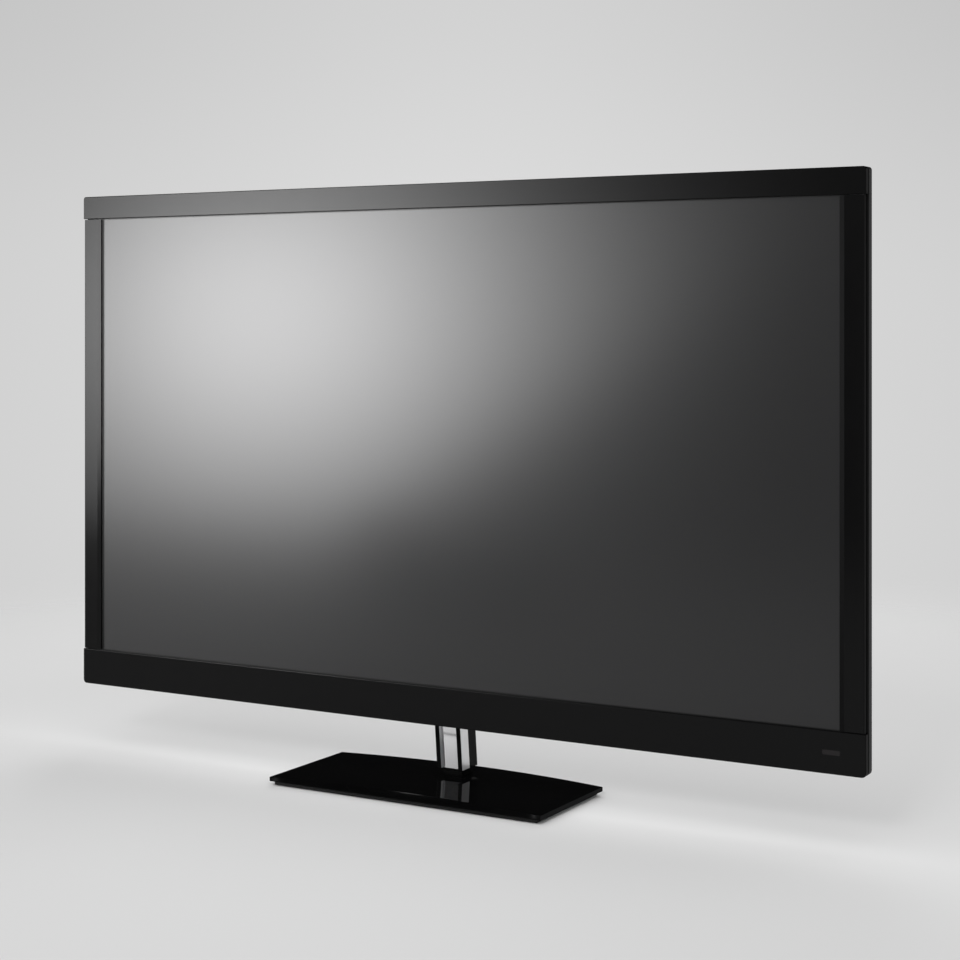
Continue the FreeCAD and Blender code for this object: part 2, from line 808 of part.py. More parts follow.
def source_board(side):
    """A long driver board along the panel's lower edge, on pads, with its plug."""
    xs = sorted(side * x for x in source_board_x)
    z0, z1 = source_board_z
    d0, d1 = source_board_d
    strip = slab(xs[0], xs[1], d0, d1, z0, z1)
    pad_pitch = (xs[1] - xs[0] - 2 * source_pad_w) / (source_pad_count - 1)
    starts = [xs[0] + source_pad_w / 2 + i * pad_pitch for i in range(source_pad_count)]
    pads = [slab(x, x + source_pad_w, chassis_back, d0, z0, z1) for x in starts]
    plug_x = side * ribbon_x
    half = ribbon_w / 2 + plug_wall
    plug = slab(plug_x - half, plug_x + half, d1, d1 + plug_wall, z1 - plug_l, z1)
    return [strip, plug] + pads


save("source_boards", source_board(-1) + source_board(1))
save("ribbon_cables", [slab(s * ribbon_x - ribbon_w / 2, s * ribbon_x + ribbon_w / 2,
                            chassis_back, chassis_back + ribbon_t,
                            source_board_z[1] + fit_gap,
                            timing_board_area[2] + plug_wall + plug_l) for s in (-1, 1)])


# Sockets and the trays round them

def tray(area):
    """A moulded recess behind the sockets, open to the back, on ribs that stand on the chassis."""
    x0, x1, z0, z1 = area
    t = tray_t
    shell = slab(x0 - t, x1 + t, tray_floor - t, housing_depth, z0 - t, z1 + t)
    shell = shell.cut(slab(x0, x1, tray_floor, housing_depth + 1, z0, z1))
    ribs = [slab(x, x + t, chassis_back, tray_floor - t + 0.1, z0, z1)
            for x in (x0 + 2 * t, x1 - 3 * t)]
    return fuse([shell] + ribs)


def side_socket(z, h, tall, tongue_t):
    """A metal-shelled socket that faces the side tray, with a tongue inside."""
    x0 = side_tray_area[1]
    wall = shell_t
    back = x0 + socket_l - socket_back_t
    shell = slab(x0, x0 + socket_l, board_back, board_back + tall, z - h / 2, z + h / 2)
    shell = shell.cut(slab(x0 - 1, back, board_back + wall,
                           board_back + tall - wall, z - h / 2 + wall, z + h / 2 - wall))
    mid = board_back + tall / 2
    tongue = slab(x0 + tongue_inset, back + 0.1, mid - tongue_t / 2, mid + tongue_t / 2,
                  z - h / 2 + socket_back_t, z + h / 2 - socket_back_t)
    return fuse([shell, tongue])


def lower_block(x, w, tall, length=socket_l):
    """A box-shaped socket body that faces down into the lower tray."""
    return slab(x - w / 2, x + w / 2, board_back, board_back + tall, socket_z, socket_z + length)


def lan_socket():
    w, tall = lan_size
    t = lan_wall
    body = lower_block(lan_x, w, tall, lan_l)
    return body.cut(slab(lan_x - w / 2 + t, lan_x + w / 2 - t, board_back + t,
                         board_back + tall - t, socket_z - 1, socket_z + lan_l - t))


def round_jack(x, r, reach, tall):
    """A round jack whose sleeve reaches down from its body."""
    mid = board_back + tall / 2
    body = lower_block(x, 2 * (r + jack_flange), tall)
    sleeve = post(x, front_y + mid, socket_z - reach, socket_z + 1, r)
    bore = post(x, front_y + mid, socket_z - reach - 1, socket_z + jack_bore_l,
                r / jack_bore_ratio)
    return fuse([body, sleeve]).cut(bore)


def power_inlet():
    """A three-blade mains inlet that faces down into its tray."""
    z0 = power_tray_area[3]
    body = slab(inlet_x - inlet_half_w, inlet_x + inlet_half_w, inlet_mid - inlet_half_d,
                inlet_mid + inlet_half_d, z0, z0 + inlet_l)
    half_w = inlet_half_w - inlet_wall_w
    half_d = inlet_half_d - inlet_wall_d
    cavity = slab(inlet_x - half_w, inlet_x + half_w, inlet_mid - half_d, inlet_mid + half_d,
                  z0 - 1, z0 + inlet_l - inlet_back_t)
    keyed = edges_along(cavity, Z_AXIS, lambda p: p.y < front_y + inlet_mid)
    body = body.cut(cavity.makeChamfer(inlet_chamfer, keyed))
    blades = []
    for dx, dd in ((-blade_offset, blade_rise), (blade_offset, blade_rise), (0, -earth_drop)):
        blades.append(slab(inlet_x + dx - blade_t / 2, inlet_x + dx + blade_t / 2,
                           inlet_mid + dd - blade_w / 2, inlet_mid + dd + blade_w / 2,
                           z0 + blade_inset, z0 + inlet_l - inlet_back_t + 0.1))
    return [fuse([body] + blades)]


def side_tray():
    """The side tray with a hole for each socket."""
    shell = tray(side_tray_area)
    x0 = side_tray_area[1]
    for zs, (h, tall, _) in ((hdmi_zs, hdmi_size), (usb_zs, usb_size)):
        for z in zs:
            shell = shell.cut(slab(x0 - 1, x0 + tray_t + 1, board_back - fit_gap,
                                   board_back + tall + fit_gap, z - h / 2 - fit_gap,
                                   z + h / 2 + fit_gap))
    return shell


def lower_tray():
    """The lower tray with a hole for each socket."""
    shell = tray(lower_tray_area)
    holes = [(lan_x, lan_size[0], lan_size[1]), (optical_x, optical_size, optical_size)]
    holes += [(x, 2 * (jack_r + jack_flange), jack_tall) for x in jack_xs]
    holes.append((antenna_x, 2 * (antenna_r + jack_flange), antenna_tall))
    for x, w, tall in holes:
        shell = shell.cut(slab(x - w / 2 - fit_gap, x + w / 2 + fit_gap, board_back - fit_gap,
                               board_back + tall + fit_gap, socket_z - 1,
                               socket_z + tray_t + 1))
    return shell


def power_tray():
    """The power tray with a hole for the inlet."""
    z0 = power_tray_area[3]
    return tray(power_tray_area).cut(
        slab(inlet_x - inlet_half_w - fit_gap, inlet_x + inlet_half_w + fit_gap,
             inlet_mid - inlet_half_d - fit_gap, inlet_mid + inlet_half_d + fit_gap, z0 - 1,
             z0 + tray_t + 1))


save("side_jack_tray", [side_tray()])
save("lower_jack_tray", [lower_tray()])
save("power_tray", [power_tray()])
save("side_sockets", [side_socket(z, *hdmi_size) for z in hdmi_zs]
     + [side_socket(z, *usb_size) for z in usb_zs])
save("lan_socket", [lan_socket()])
optical_body = lower_block(optical_x, optical_size, optical_size)
optical_body = optical_body.makeChamfer(optical_chamfer, edges_along(
    optical_body, Z_AXIS, lambda p: p.y > front_y + board_back + 1))
save("lower_sockets", [round_jack(x, jack_r, jack_reach, jack_tall) for x in jack_xs]
     + [round_jack(antenna_x, antenna_r, antenna_reach, antenna_tall), optical_body])
save("power_inlet", power_inlet())


# Speakers

def speaker_box(side):
    x0, x1 = sorted(side * x for x in speaker_area[:2])
    box = slab(x0, x1, chassis_back, panel_inner - fit_gap, speaker_area[2], speaker_area[3])
    return box.makeFillet(speaker_box_r, edges_along(box, Y_AXIS))


def speaker_driver(side):
    """A slim racetrack driver that fires down, with its cone sunk in a frame."""
    z1 = speaker_area[2]

    def racetrack(inset, low, high):
        x, d = driver_half_w - inset, driver_half_d - inset
        block = slab(side * speaker_mid_x - x, side * speaker_mid_x + x, speaker_mid_d - d,
                     speaker_mid_d + d, low, high)
        return block.makeFillet(d - 0.1, edges_along(block, Z_AXIS))

    return racetrack(0, z1 - driver_t, z1).cut(
        racetrack(driver_rim, z1 - driver_t - 1, z1 - driver_t / 2))


def speaker_grille_area(side):
    x, d = side * speaker_mid_x, speaker_mid_d
    w = speaker_grille_half_w
    return x - w, x + w, d - speaker_grille_half_d, d + speaker_grille_half_d


def speaker_grille(side):
    """A slotted strip in the underside of the rear cover."""
    x0, x1, d0, d1 = speaker_grille_area(side)
    strip = slab(x0, x1, d0, d1, frame_z0, frame_z0 + cover_t)
    pitch = (x1 - x0 - grille_margin) / speaker_slot_count
    m = speaker_slot_margin
    for i in range(speaker_slot_count):
        x = x0 + grille_margin / 2 + (i + 0.5) * pitch
        strip = strip.cut(slab(x - speaker_slot_w / 2, x + speaker_slot_w / 2, d0 + m, d1 - m,
                               frame_z0 - 1, frame_z0 + cover_t + 1))
    return strip


save("speaker_boxes", [speaker_box(-1), speaker_box(1)])
save("speaker_drivers", [speaker_driver(-1), speaker_driver(1)])
save("speaker_grilles", [speaker_grille(-1), speaker_grille(1)])


# Rear cover

def cover_block(inset):
    """The solid form of the rear cover, drawn in by inset on every side."""
    rim_end = cover_rim_depth - inset
    start = cover_front if inset == 0 else cover_front - 1
    rim = slab(-half_frame + inset, half_frame - inset, start, rim_end, frame_z0 + inset,
               frame_z1 - inset)
    lows = edges_along(rim, Y_AXIS, lambda p: p.z < frame_mid_z)
    rim = rim.makeFillet(bottom_corner_r - inset, lows)
    highs = edges_along(rim, Y_AXIS, lambda p: p.z > frame_mid_z)
    rim = rim.makeFillet(max(top_corner_r - inset, 1), highs)
    back = [e for e in rim.Edges if all(abs(v.Y - front_y - rim_end) < 1e-6 for v in e.Vertexes)]
    rim = rim.makeFillet(min(cover_edge_r - inset, top_corner_r - inset - 0.2), back)
    return fuse([rim, housing_block(inset)])


def housing_outline(inset, depth):
    """A rounded rectangle of the raised housing at one depth."""
    draw_in = inset + (depth - cover_rim_depth) * housing_draft
    x = half_housing - draw_in
    z0 = housing_z0 + draw_in
    z1 = housing_z1 - draw_in
    r = housing_corner_r - draw_in / 2
    y = front_y + depth
    k = r * (1 - math.sqrt(0.5))
    pts = [V(-x + r, y, z0), V(x - r, y, z0), V(x - k, y, z0 + k), V(x, y, z0 + r),
           V(x, y, z1 - r), V(x - k, y, z1 - k), V(x - r, y, z1), V(-x + r, y, z1),
           V(-x + k, y, z1 - k), V(-x, y, z1 - r), V(-x, y, z0 + r), V(-x + k, y, z0 + k)]
    edges = []
    for i in range(0, 12, 3):
        a, b, c, d = pts[i], pts[i + 1], pts[(i + 2) % 12], pts[(i + 3) % 12]
        edges.append(Part.LineSegment(a, b).toShape())
        edges.append(Part.Arc(b, c, d).toShape())
    return Part.Wire(edges)


def housing_block(inset):
    """The raised housing, with sloped sides."""
    root = cover_rim_depth - inset - 1
    top = housing_depth - inset
    return Part.makeLoft([housing_outline(inset, root), housing_outline(inset, top)], True, True)


def area_hole(area, grow, d0, d1):
    x0, x1, z0, z1 = area
    return slab(x0 - grow, x1 + grow, d0, d1, z0 - grow, z1 + grow)


def neck_pocket(grow):
    """The flat recess in the housing that takes the neck's bracket."""
    return slab(-pocket_half_w - grow, pocket_half_w + grow, cover_rim_depth - grow,
                housing_depth + 1, housing_z0 - pocket_drop, pocket_top + grow)


key_zs = [key_first_z + i * key_pitch for i in range(len(key_names))]
key_back = panel_inner - fit_gap - key_stem_l + key_flange_t
key_post_zs = (key_zs[0] - key_post_offset, key_zs[-1] + key_post_offset)


def rear_cover():
    """The moulded back, with screw posts, key holes, windows and the neck's pocket."""
    outer = cover_block(0).cut(neck_pocket(0))
    inner = cover_block(cover_t).cut(neck_pocket(cover_t))
    shell = outer.cut(inner)
    posts = [drum(x, z, chassis_back, panel_inner + 0.5, boss_r) for x, z in cover_screw_spots]
    posts += [drum(key_x, z, key_board_back, panel_inner + 0.5, key_post_r) for z in key_post_zs]
    for x, z in cover_screw_spots:
        for half_w, half_h in ((boss_rib_reach, boss_rib_t / 2), (boss_rib_t / 2, boss_rib_reach)):
            posts.append(slab(x - half_w, x + half_w, panel_inner - boss_rib_h, panel_inner + 0.5,
                              z - half_h, z + half_h))
    shell = fuse([shell] + posts)
    d_seat = cover_rim_depth - screw_sink
    cuts = []
    for x, z in cover_screw_spots:
        cuts.append(drum(x, z, d_seat, cover_rim_depth + 1, screw_head_r + fit_gap))
        cuts.append(drum(x, z, chassis_back - 1, d_seat, screw_r + fit_gap))
    for x, z in vesa_spots:
        cuts.append(drum(x, z, panel_inner, housing_depth + 1, vesa_boss_r + fit_gap))
    for x, z in bracket_spots:
        cuts.append(drum(x, z, panel_inner - 1, cover_rim_depth + 1, bracket_screw_r + fit_gap))
    for z in key_zs:
        cuts.append(slab(key_x - key_h / 2 - fit_gap, key_x + key_h / 2 + fit_gap,
                         panel_inner - 1, cover_rim_depth + 1, z - key_w / 2 - fit_gap,
                         z + key_w / 2 + fit_gap))
    for area in (side_tray_area, lower_tray_area, power_tray_area):
        cuts.append(area_hole(area, tray_t + fit_gap, housing_inner - 1, housing_depth + 1))
    for area in (upper_grille_area, lower_grille_area):
        cuts.append(area_hole(area, fit_gap, housing_inner - 1, housing_depth + 1))
    for side in (-1, 1):
        x0, x1, d0, d1 = speaker_grille_area(side)
        cuts.append(slab(x0 - fit_gap, x1 + fit_gap, d0 - fit_gap, d1 + fit_gap, frame_z0 - 1,
                         frame_z0 + cover_t + 1))
    cuts.append(plate(label_x, label_x + label_w, label_z0, label_z0 + label_h,
                      housing_depth - label_sink, housing_depth + 1, label_corner_r))
    return shell.cut(cuts)


def vent_grille(area):
    """A flat insert with upright slots."""
    x0, x1, z0, z1 = area
    panel = slab(x0, x1, housing_inner, housing_depth, z0, z1)
    count = int((x1 - x0 - 2 * grille_margin) / grille_slot_pitch)
    first = (x0 + x1) / 2 - (count - 1) * grille_slot_pitch / 2
    slots = []
    for i in range(count):
        x = first + i * grille_slot_pitch
        slots.append(slab(x - grille_slot_w / 2, x + grille_slot_w / 2, housing_inner - 1,
                          housing_depth + 1, z0 + grille_margin, z1 - grille_margin))
    return panel.cut(slots)


save("rear_cover", [rear_cover()])
save("vent_grilles", [vent_grille(upper_grille_area), vent_grille(lower_grille_area)])
save("cover_screws", screws(cover_screw_spots, cover_rim_depth - screw_sink, screw_head_t,
                            screw_head_r, screw_r,
                            cover_rim_depth - screw_sink - chassis_front))


# Keys

def key(z):
    """One key: a cap that stands out of the cover, on a flange that keeps it in."""
    cap_end = cover_rim_depth + key_proud
    cap = slab(key_x - key_h / 2, key_x + key_h / 2, key_back, cap_end, z - key_w / 2,
               z + key_w / 2)
    rim = [e for e in cap.Edges if all(abs(v.Y - front_y - cap_end) < 1e-6 for v in e.Vertexes)]
    cap = cap.makeFillet(key_edge_r, rim)
    f = key_flange_w
    flange = slab(key_x - key_h / 2 - f, key_x + key_h / 2 + f,
                  panel_inner - fit_gap - key_flange_t, panel_inner - fit_gap,
                  z - key_w / 2 - f, z + key_w / 2 + f)
    return fuse([cap, flange])


for name, z in zip(key_names, key_zs):
    save(name, [key(z)])


def key_board():
    """The board behind the keys, with a switch under each."""
    w = key_board_half_w
    board = slab(key_x - w, key_x + w, key_board_back - key_board_t, key_board_back,
                 key_post_zs[0] - key_board_margin, key_post_zs[1] + key_board_margin)
    switch_top = key_back - key_travel - fit_gap
    body_top = switch_top - plunger_l
    s = switch_half_w
    switches = []
    for z in key_zs:
        base = slab(key_x - s, key_x + s, key_board_back, body_top, z - s, z + s)
        switches.append(base.fuse(drum(key_x, z, body_top, switch_top, plunger_r)))
    return [board] + switches


save("key_board", key_board())


# Neck

def leaning(at_ref_0, at_ref_1, z0, z1, x0, x1):
    """A block between two leaning planes."""
    return prism([(neck_depth(at_ref_0, z0), z0), (neck_depth(at_ref_1, z0), z0),
                  (neck_depth(at_ref_1, z1), z1), (neck_depth(at_ref_0, z1), z1)], x0, x1)


def neck_core():
    """The satin metal column between the two fins."""
    core = leaning(core_front, core_rear, neck_z0, core_top, -core_half_w, core_half_w)
    lean_dir = V(0, -neck_lean, 1).normalize()
    front = edges_along(core, lean_dir, lambda p: p.y < front_y + neck_depth(core_front, p.z) + 1)
    core = core.makeFillet(core_edge_r, front)
    for z in core_screw_zs:
        seat = neck_depth(core_rear, z) - core_head_t - 1
        core = core.cut(drum(0, z, 0, seat, core_screw_r + thread_gap))
        core = core.cut(drum(0, z, seat, seat + 20, core_head_r + fit_gap))
    for side in (-1, 1):
        core = core.cut(post(side * foot_screw_x, foot_screw_y, 0, neck_z0 + foot_screw_grip + 1,
                             foot_screw_r + thread_gap))
    return core


def neck_fin(side):
    """A clear side plate, proud of the core in front."""
    xs = sorted((side * core_half_w, side * (core_half_w + fin_t)))
    fin = leaning(core_front - fin_lead, core_rear, neck_z0, fin_top, xs[0], xs[1])
    lean_dir = V(0, -neck_lean, 1).normalize()
    return fin.makeFillet(fin_edge_r, edges_along(fin, lean_dir))


def neck_shroud():
    """The black rear half of the neck, a hollow duct that tapers towards its top."""
    half = core_half_w + fin_t
    back = core_rear + shroud_depth
    knee = frame_z0 + shroud_knee

    def form(inset, z0, z1):
        front0 = core_rear - (1 if inset else 0)
        rear = [(neck_depth(back, z0) - inset, z0), (neck_depth(back, knee) - inset, knee),
                (neck_depth(core_rear, shroud_top) + shroud_top_t - inset, z1)]
        outline = [(neck_depth(front0, z0), z0)] + rear + [(neck_depth(front0, z1), z1)]
        return prism(outline, -half + inset, half - inset)

    outer = form(0, neck_z0, shroud_top)
    rear_edges = [e for e in outer.Edges if abs(abs(e.CenterOfMass.x) - half) < 0.1
                  and e.CenterOfMass.y > front_y + neck_depth(core_rear, e.CenterOfMass.z) + 5
                  and e.Length > 2 * shroud_depth]
    outer = outer.makeFillet(shroud_edge_r, rear_edges)
    return outer.cut(form(shroud_t, neck_z0 + shroud_t, shroud_top - shroud_t))


def neck_bracket():
    """The plate that is screwed to the television, with a wedge that meets the core."""
    back = cover_rim_depth + bracket_t
    board = plate(-bracket_half_w, bracket_half_w, bracket_z0, bracket_z1, cover_rim_depth, back,
                  bracket_corner_r)
    w = core_half_w - sheet_gap
    low, high = bracket_z0 + gusset_inset, bracket_z1 - gusset_inset
    wedge = prism([(back - 1, low), (neck_depth(core_front, low), low),
                   (neck_depth(core_front, high), high), (back - 1, high)], -w, w)
    gussets = []
    crest = back + gusset_h
    for x in (-gusset_x - gusset_t, gusset_x):
        gussets.append(prism([(back - 1, low), (crest, low + gusset_run),
                              (crest, high - gusset_run), (back - 1, high)], x, x + gusset_t))
    body = fuse([board, wedge] + gussets)
    for x, z in bracket_spots:
        body = body.cut(drum(x, z, 0, back + 1, bracket_screw_r + thread_gap))
    for z in core_screw_zs:
        body = body.cut(drum(0, z, back, core_rear, core_screw_r + thread_gap))
    return body


def bracket_cover():
    """A lid over the bracket, flush with the housing, with a slot for the neck."""
    c = fit_gap
    floor_d = cover_rim_depth
    z0 = housing_z0 + lid_inset
    lid = slab(-pocket_half_w + c, pocket_half_w - c, floor_d, housing_depth, z0, pocket_top - c)
    lid = lid.cut(slab(-pocket_half_w + c + cover_t, pocket_half_w - c - cover_t, floor_d - 1,
                       housing_inner, z0 + cover_t, pocket_top - c - cover_t))
    slot = core_half_w + lid_slot_gap
    return lid.cut(slab(-slot, slot, floor_d, housing_depth + 1, bracket_z0 + 2 * lid_inset,
                        core_top + 1))


def stand_receiver():
    """A pressed steel channel on the chassis that takes the bracket's screws."""
    z0, z1 = bracket_z0 - receiver_overhang[0], bracket_z1 + receiver_overhang[1]
    t = receiver_t
    w = receiver_half_w
    crown = slab(-w, w, chassis_back, panel_inner, z0, z1)
    crown = crown.cut(slab(-w + t, w - t, chassis_back - 1, panel_inner - t, z0 - 1, z1 + 1))
    flanges = [slab(-w - receiver_flange_w, -w + t, chassis_back, chassis_back + t, z0, z1),
               slab(w - t, w + receiver_flange_w, chassis_back, chassis_back + t, z0, z1)]
    nuts = [drum(x, z, panel_inner - nut_l, panel_inner - t + 0.1, nut_r)
            for x, z in bracket_spots]
    body = fuse([crown] + flanges + nuts)
    for x, z in bracket_spots:
        body = body.cut(drum(x, z, 0, panel_inner + 1, bracket_screw_r + thread_gap))
    return body


save("neck_core", [neck_core()])
save("neck_fins", [neck_fin(-1), neck_fin(1)])
save("neck_shroud", [neck_shroud()])
save("neck_bracket", [neck_bracket()])
save("bracket_cover", [bracket_cover()])
save("stand_receiver", [stand_receiver()])

bracket_back = cover_rim_depth + bracket_t
neck_screws = screws(bracket_spots, bracket_back, bracket_head_t, bracket_head_r,
                     bracket_screw_r, bracket_back - panel_inner + nut_l - 1)
for z in core_screw_zs:
    seat = neck_depth(core_rear, z) - core_head_t - 1
    neck_screws += screws([(0, z)], seat, core_head_t, core_head_r, core_screw_r,
                          seat - bracket_back)
for side in (-1, 1):
    head = post(side * foot_screw_x, foot_screw_y, foot_z0, foot_z0 + foot_head_t, foot_head_r)
    neck_screws.append(head.fuse(post(side * foot_screw_x, foot_screw_y, foot_z0 + foot_head_t,
                                      neck_z0 + foot_screw_grip, foot_screw_r)))


# Swivel

def swivel_shaft():
    """The foot plate under the neck with its shaft."""
    foot = Part.makeBox(2 * foot_half_w, 2 * foot_half_d, foot_t,
                        V(-foot_half_w, swivel_y - foot_half_d, foot_z0))
    foot = foot.makeFillet(block_corner_r, edges_along(foot, Z_AXIS))
    body = fuse([foot, post(0, swivel_y, retainer_z1, foot_z0 + 1, shaft_r)])
    for side in (-1, 1):
        x = side * foot_screw_x
        body = body.cut(post(x, foot_screw_y, foot_z0 - 1, foot_z0 + foot_head_t,
                             foot_head_r + thread_gap))
        body = body.cut(post(x, foot_screw_y, foot_z0, neck_z0 + 1, foot_screw_r + thread_gap))
    return body.cut(post(0, swivel_y, 0, foot_z0, retainer_screw_r + thread_gap))


def foot_collar():
    """The boss that the neck turns on, with a spigot through the base plate."""
    boss = Part.makeBox(2 * collar_half_w, 2 * collar_half_d, collar_h,
                        V(-collar_half_w, swivel_y - collar_half_d, base_top_z))
    boss = boss.makeFillet(block_corner_r, edges_along(boss, Z_AXIS))
    top = [e for e in boss.Edges if all(abs(v.Z - collar_top) < 1e-6 for v in e.Vertexes)]
    boss = boss.makeFillet(collar_edge_r, top)
    body = fuse([boss, post(0, swivel_y, under_plate_top, base_top_z + 1, spigot_r)])
    body = body.cut(post(0, swivel_y, 0, collar_top + 1, bush_r))
    for x, y in collar_screw_spots:
        body = body.cut(post(x, y, 0, collar_top - collar_screw_cap,
                             collar_screw_r + thread_gap))
    return body


collar_screw_spots = [(collar_screw_pcr * math.cos(math.radians(a)),
                       swivel_y + collar_screw_pcr * math.sin(math.radians(a)))
                      for a in (90, 210, 330)]


def bearing_bush():
    """A plain bush between the shaft and the collar."""
    bush = post(0, swivel_y, under_plate_top, collar_top, bush_r)
    return bush.cut(post(0, swivel_y, 0, collar_top + 1, shaft_r + running_gap))


def washer(z0, t, outer):
    ring = post(0, swivel_y, z0, z0 + t, outer)
    return ring.cut(post(0, swivel_y, z0 - 1, z0 + t + 1, shaft_r + running_gap))


def retainer():
    """The disc that holds the shaft down, under the friction washer."""
    disc = post(0, swivel_y, retainer_z0, retainer_z1, retainer_r)
    return disc.cut(post(0, swivel_y, 0, retainer_z1 + 1, retainer_screw_r + thread_gap))


neck_screws.append(fuse([post(0, swivel_y, retainer_z0 - retainer_head_t, retainer_z0,
                              retainer_head_r),
                         post(0, swivel_y, retainer_z0 - 0.1, foot_z0 - 1, retainer_screw_r)]))
save("neck_screws", neck_screws)
collar_screws = []
for x, y in collar_screw_spots:
    collar_screws.append(fuse([post(x, y, web_z, web_z + collar_head_t, collar_head_r),
                               post(x, y, web_z, collar_top - collar_screw_cap - fit_gap,
                                    collar_screw_r)]))
save("swivel_shaft", [swivel_shaft()])
save("foot_collar", [foot_collar()])
save("bearing_bush", [bearing_bush()])
save("swivel_washers", [washer(collar_top, thrust_t, thrust_r),
                        washer(retainer_z1, friction_t, retainer_r)])
save("swivel_retainer", [retainer()])
save("collar_screws", collar_screws)


# Base

def base_outline(z, front_inset, front_bow, inset, side_inset):
    """The plan of the base: straight sides, a bowed back and a straight or bowed front."""
    x = base_half_w - side_inset
    front = -base_depth / 2 + front_inset + inset
    back = base_depth / 2 - inset
    corner = back - back_bow
    a, b = V(-x, front, z), V(x, front, z)
    c, d = V(x, corner, z), V(-x, corner, z)
    if front_bow:
        front_edge = Part.Arc(a, V(0, front + front_bow, z), b).toShape()
    else:
        front_edge = Part.LineSegment(a, b).toShape()
    return Part.Wire([front_edge, Part.LineSegment(b, c).toShape(),
                      Part.Arc(c, V(0, back, z), d).toShape(),
                      Part.LineSegment(d, a).toShape()])


def base_plate():
    """The gloss top plate, with a sloped lens-shaped facet along its front."""
    z0 = base_top_z - base_plate_t
    z1 = z0 + base_edge_t
    foot = Part.Face(base_outline(z0, 0, 0, 0, 0)).extrude(V(0, 0, base_edge_t))
    crown = Part.makeLoft([base_outline(z1, 0, 0, 0, 0), base_outline(base_top_z, 0, facet_rise, 0, 0)],
                          True, True)
    body = fuse([foot, crown])
    return body.cut(post(0, swivel_y, 0, base_top_z + 1, spigot_r + fit_gap))


foot_pad_spots = [(sx * x, y) for sx in (-1, 1)
                  for x, y in ((base_half_w - under_plate_inset - foot_pad_margin,
                                -base_depth / 2 + under_plate_inset + foot_pad_margin),
                               (base_half_w / 2.6, base_depth / 2 - under_plate_inset
                                - foot_pad_margin - 4),
                               (base_half_w - under_plate_inset - foot_pad_margin,
                                base_depth / 2 - back_bow - under_plate_inset - foot_pad_margin),
                               (base_half_w / 2.6, -base_depth / 2 + under_plate_inset
                                + foot_pad_margin))]


def under_plate():
    """The steel plate under the gloss plate, recessed for the swivel and the pads."""
    plan = Part.Face(base_outline(under_plate_z0, 0, 0, under_plate_inset, under_plate_side_inset))
    body = plan.extrude(V(0, 0, under_plate_t))
    body = body.cut(post(0, swivel_y, 0, web_z, retainer_r + recess_gap))
    body = body.cut(post(0, swivel_y, 0, base_top_z, shaft_r + fit_gap))
    for x, y in collar_screw_spots:
        body = body.cut(post(x, y, 0, web_z + collar_head_t, collar_head_r + thread_gap))
        body = body.cut(post(x, y, 0, base_top_z, collar_screw_r + thread_gap))
    for x, y in foot_pad_spots:
        body = body.cut(post(x, y, 0, under_plate_z0 + foot_pad_sink, foot_pad_r + thread_gap))
    return body


tape_half_l = base_half_w - tape_inset
save("base_plate", [base_plate()])
save("under_plate", [under_plate()])
save("bond_tape", [Part.makeBox(2 * tape_half_l, tape_w, tape_t,
                                V(-tape_half_l, y, under_plate_top))
                   for y in (-base_depth / 2 + 2 * tape_w, -base_depth / 8,
                             swivel_y + spigot_r + fit_gap)])
save("base_feet", [post(x, y, 0, foot_pad_t, foot_pad_r) for x, y in foot_pad_spots])
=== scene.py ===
import json
import math

import bmesh
import bpy
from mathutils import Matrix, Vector

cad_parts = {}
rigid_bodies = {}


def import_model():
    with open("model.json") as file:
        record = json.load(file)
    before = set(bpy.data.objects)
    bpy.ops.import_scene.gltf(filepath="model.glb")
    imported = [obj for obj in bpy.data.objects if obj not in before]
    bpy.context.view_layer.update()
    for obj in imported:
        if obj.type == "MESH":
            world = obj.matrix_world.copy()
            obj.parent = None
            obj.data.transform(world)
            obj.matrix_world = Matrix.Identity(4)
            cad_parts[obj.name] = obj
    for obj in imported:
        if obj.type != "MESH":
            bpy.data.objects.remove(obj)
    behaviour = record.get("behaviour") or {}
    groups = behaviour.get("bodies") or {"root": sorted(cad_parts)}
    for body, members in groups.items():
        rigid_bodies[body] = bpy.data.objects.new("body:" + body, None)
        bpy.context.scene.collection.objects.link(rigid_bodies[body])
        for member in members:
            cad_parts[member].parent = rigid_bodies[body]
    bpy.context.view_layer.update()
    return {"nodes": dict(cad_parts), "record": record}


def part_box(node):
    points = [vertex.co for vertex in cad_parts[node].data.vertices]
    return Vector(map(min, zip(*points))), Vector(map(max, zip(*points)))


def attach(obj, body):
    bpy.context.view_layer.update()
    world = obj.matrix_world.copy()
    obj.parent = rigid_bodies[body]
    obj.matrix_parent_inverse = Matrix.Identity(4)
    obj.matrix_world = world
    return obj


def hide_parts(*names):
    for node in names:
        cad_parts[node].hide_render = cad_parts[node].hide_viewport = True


bl_info = {
    "name": "Flat Screen Television",
    "version": (1, 0, 0),
    "blender": (4, 5, 0),
    "location": "3D Viewport > Sidebar > Television",
    "description": "Dresses the parts of a flat screen television and sets up its studio",
    "category": "Object",
}

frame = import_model()
slot_of = {part["node"]: part["material_slot"] for part in frame["record"]["subparts"]}

# Camera
IMAGE_SIDE = 960
SENSOR_WIDTH = 36.0
HORIZON_ROW = 317.1
CAMERA_PLACE = (1.446, -2.3854, 0.6754)
CAMERA_TURN = math.radians(30)

# Finishes
SLOW_NOISE = 7.0
TONE_DRIFT = 0.12
UPRIGHT_LINES = (700.0, 700.0, 14.0)
WHITE = (1.0, 1.0, 1.0, 1.0)
BLACK = (0.0, 0.0, 0.0, 1.0)

# Cover screws
HEAD_HEIGHT = 0.0024


# Shader and mesh helpers

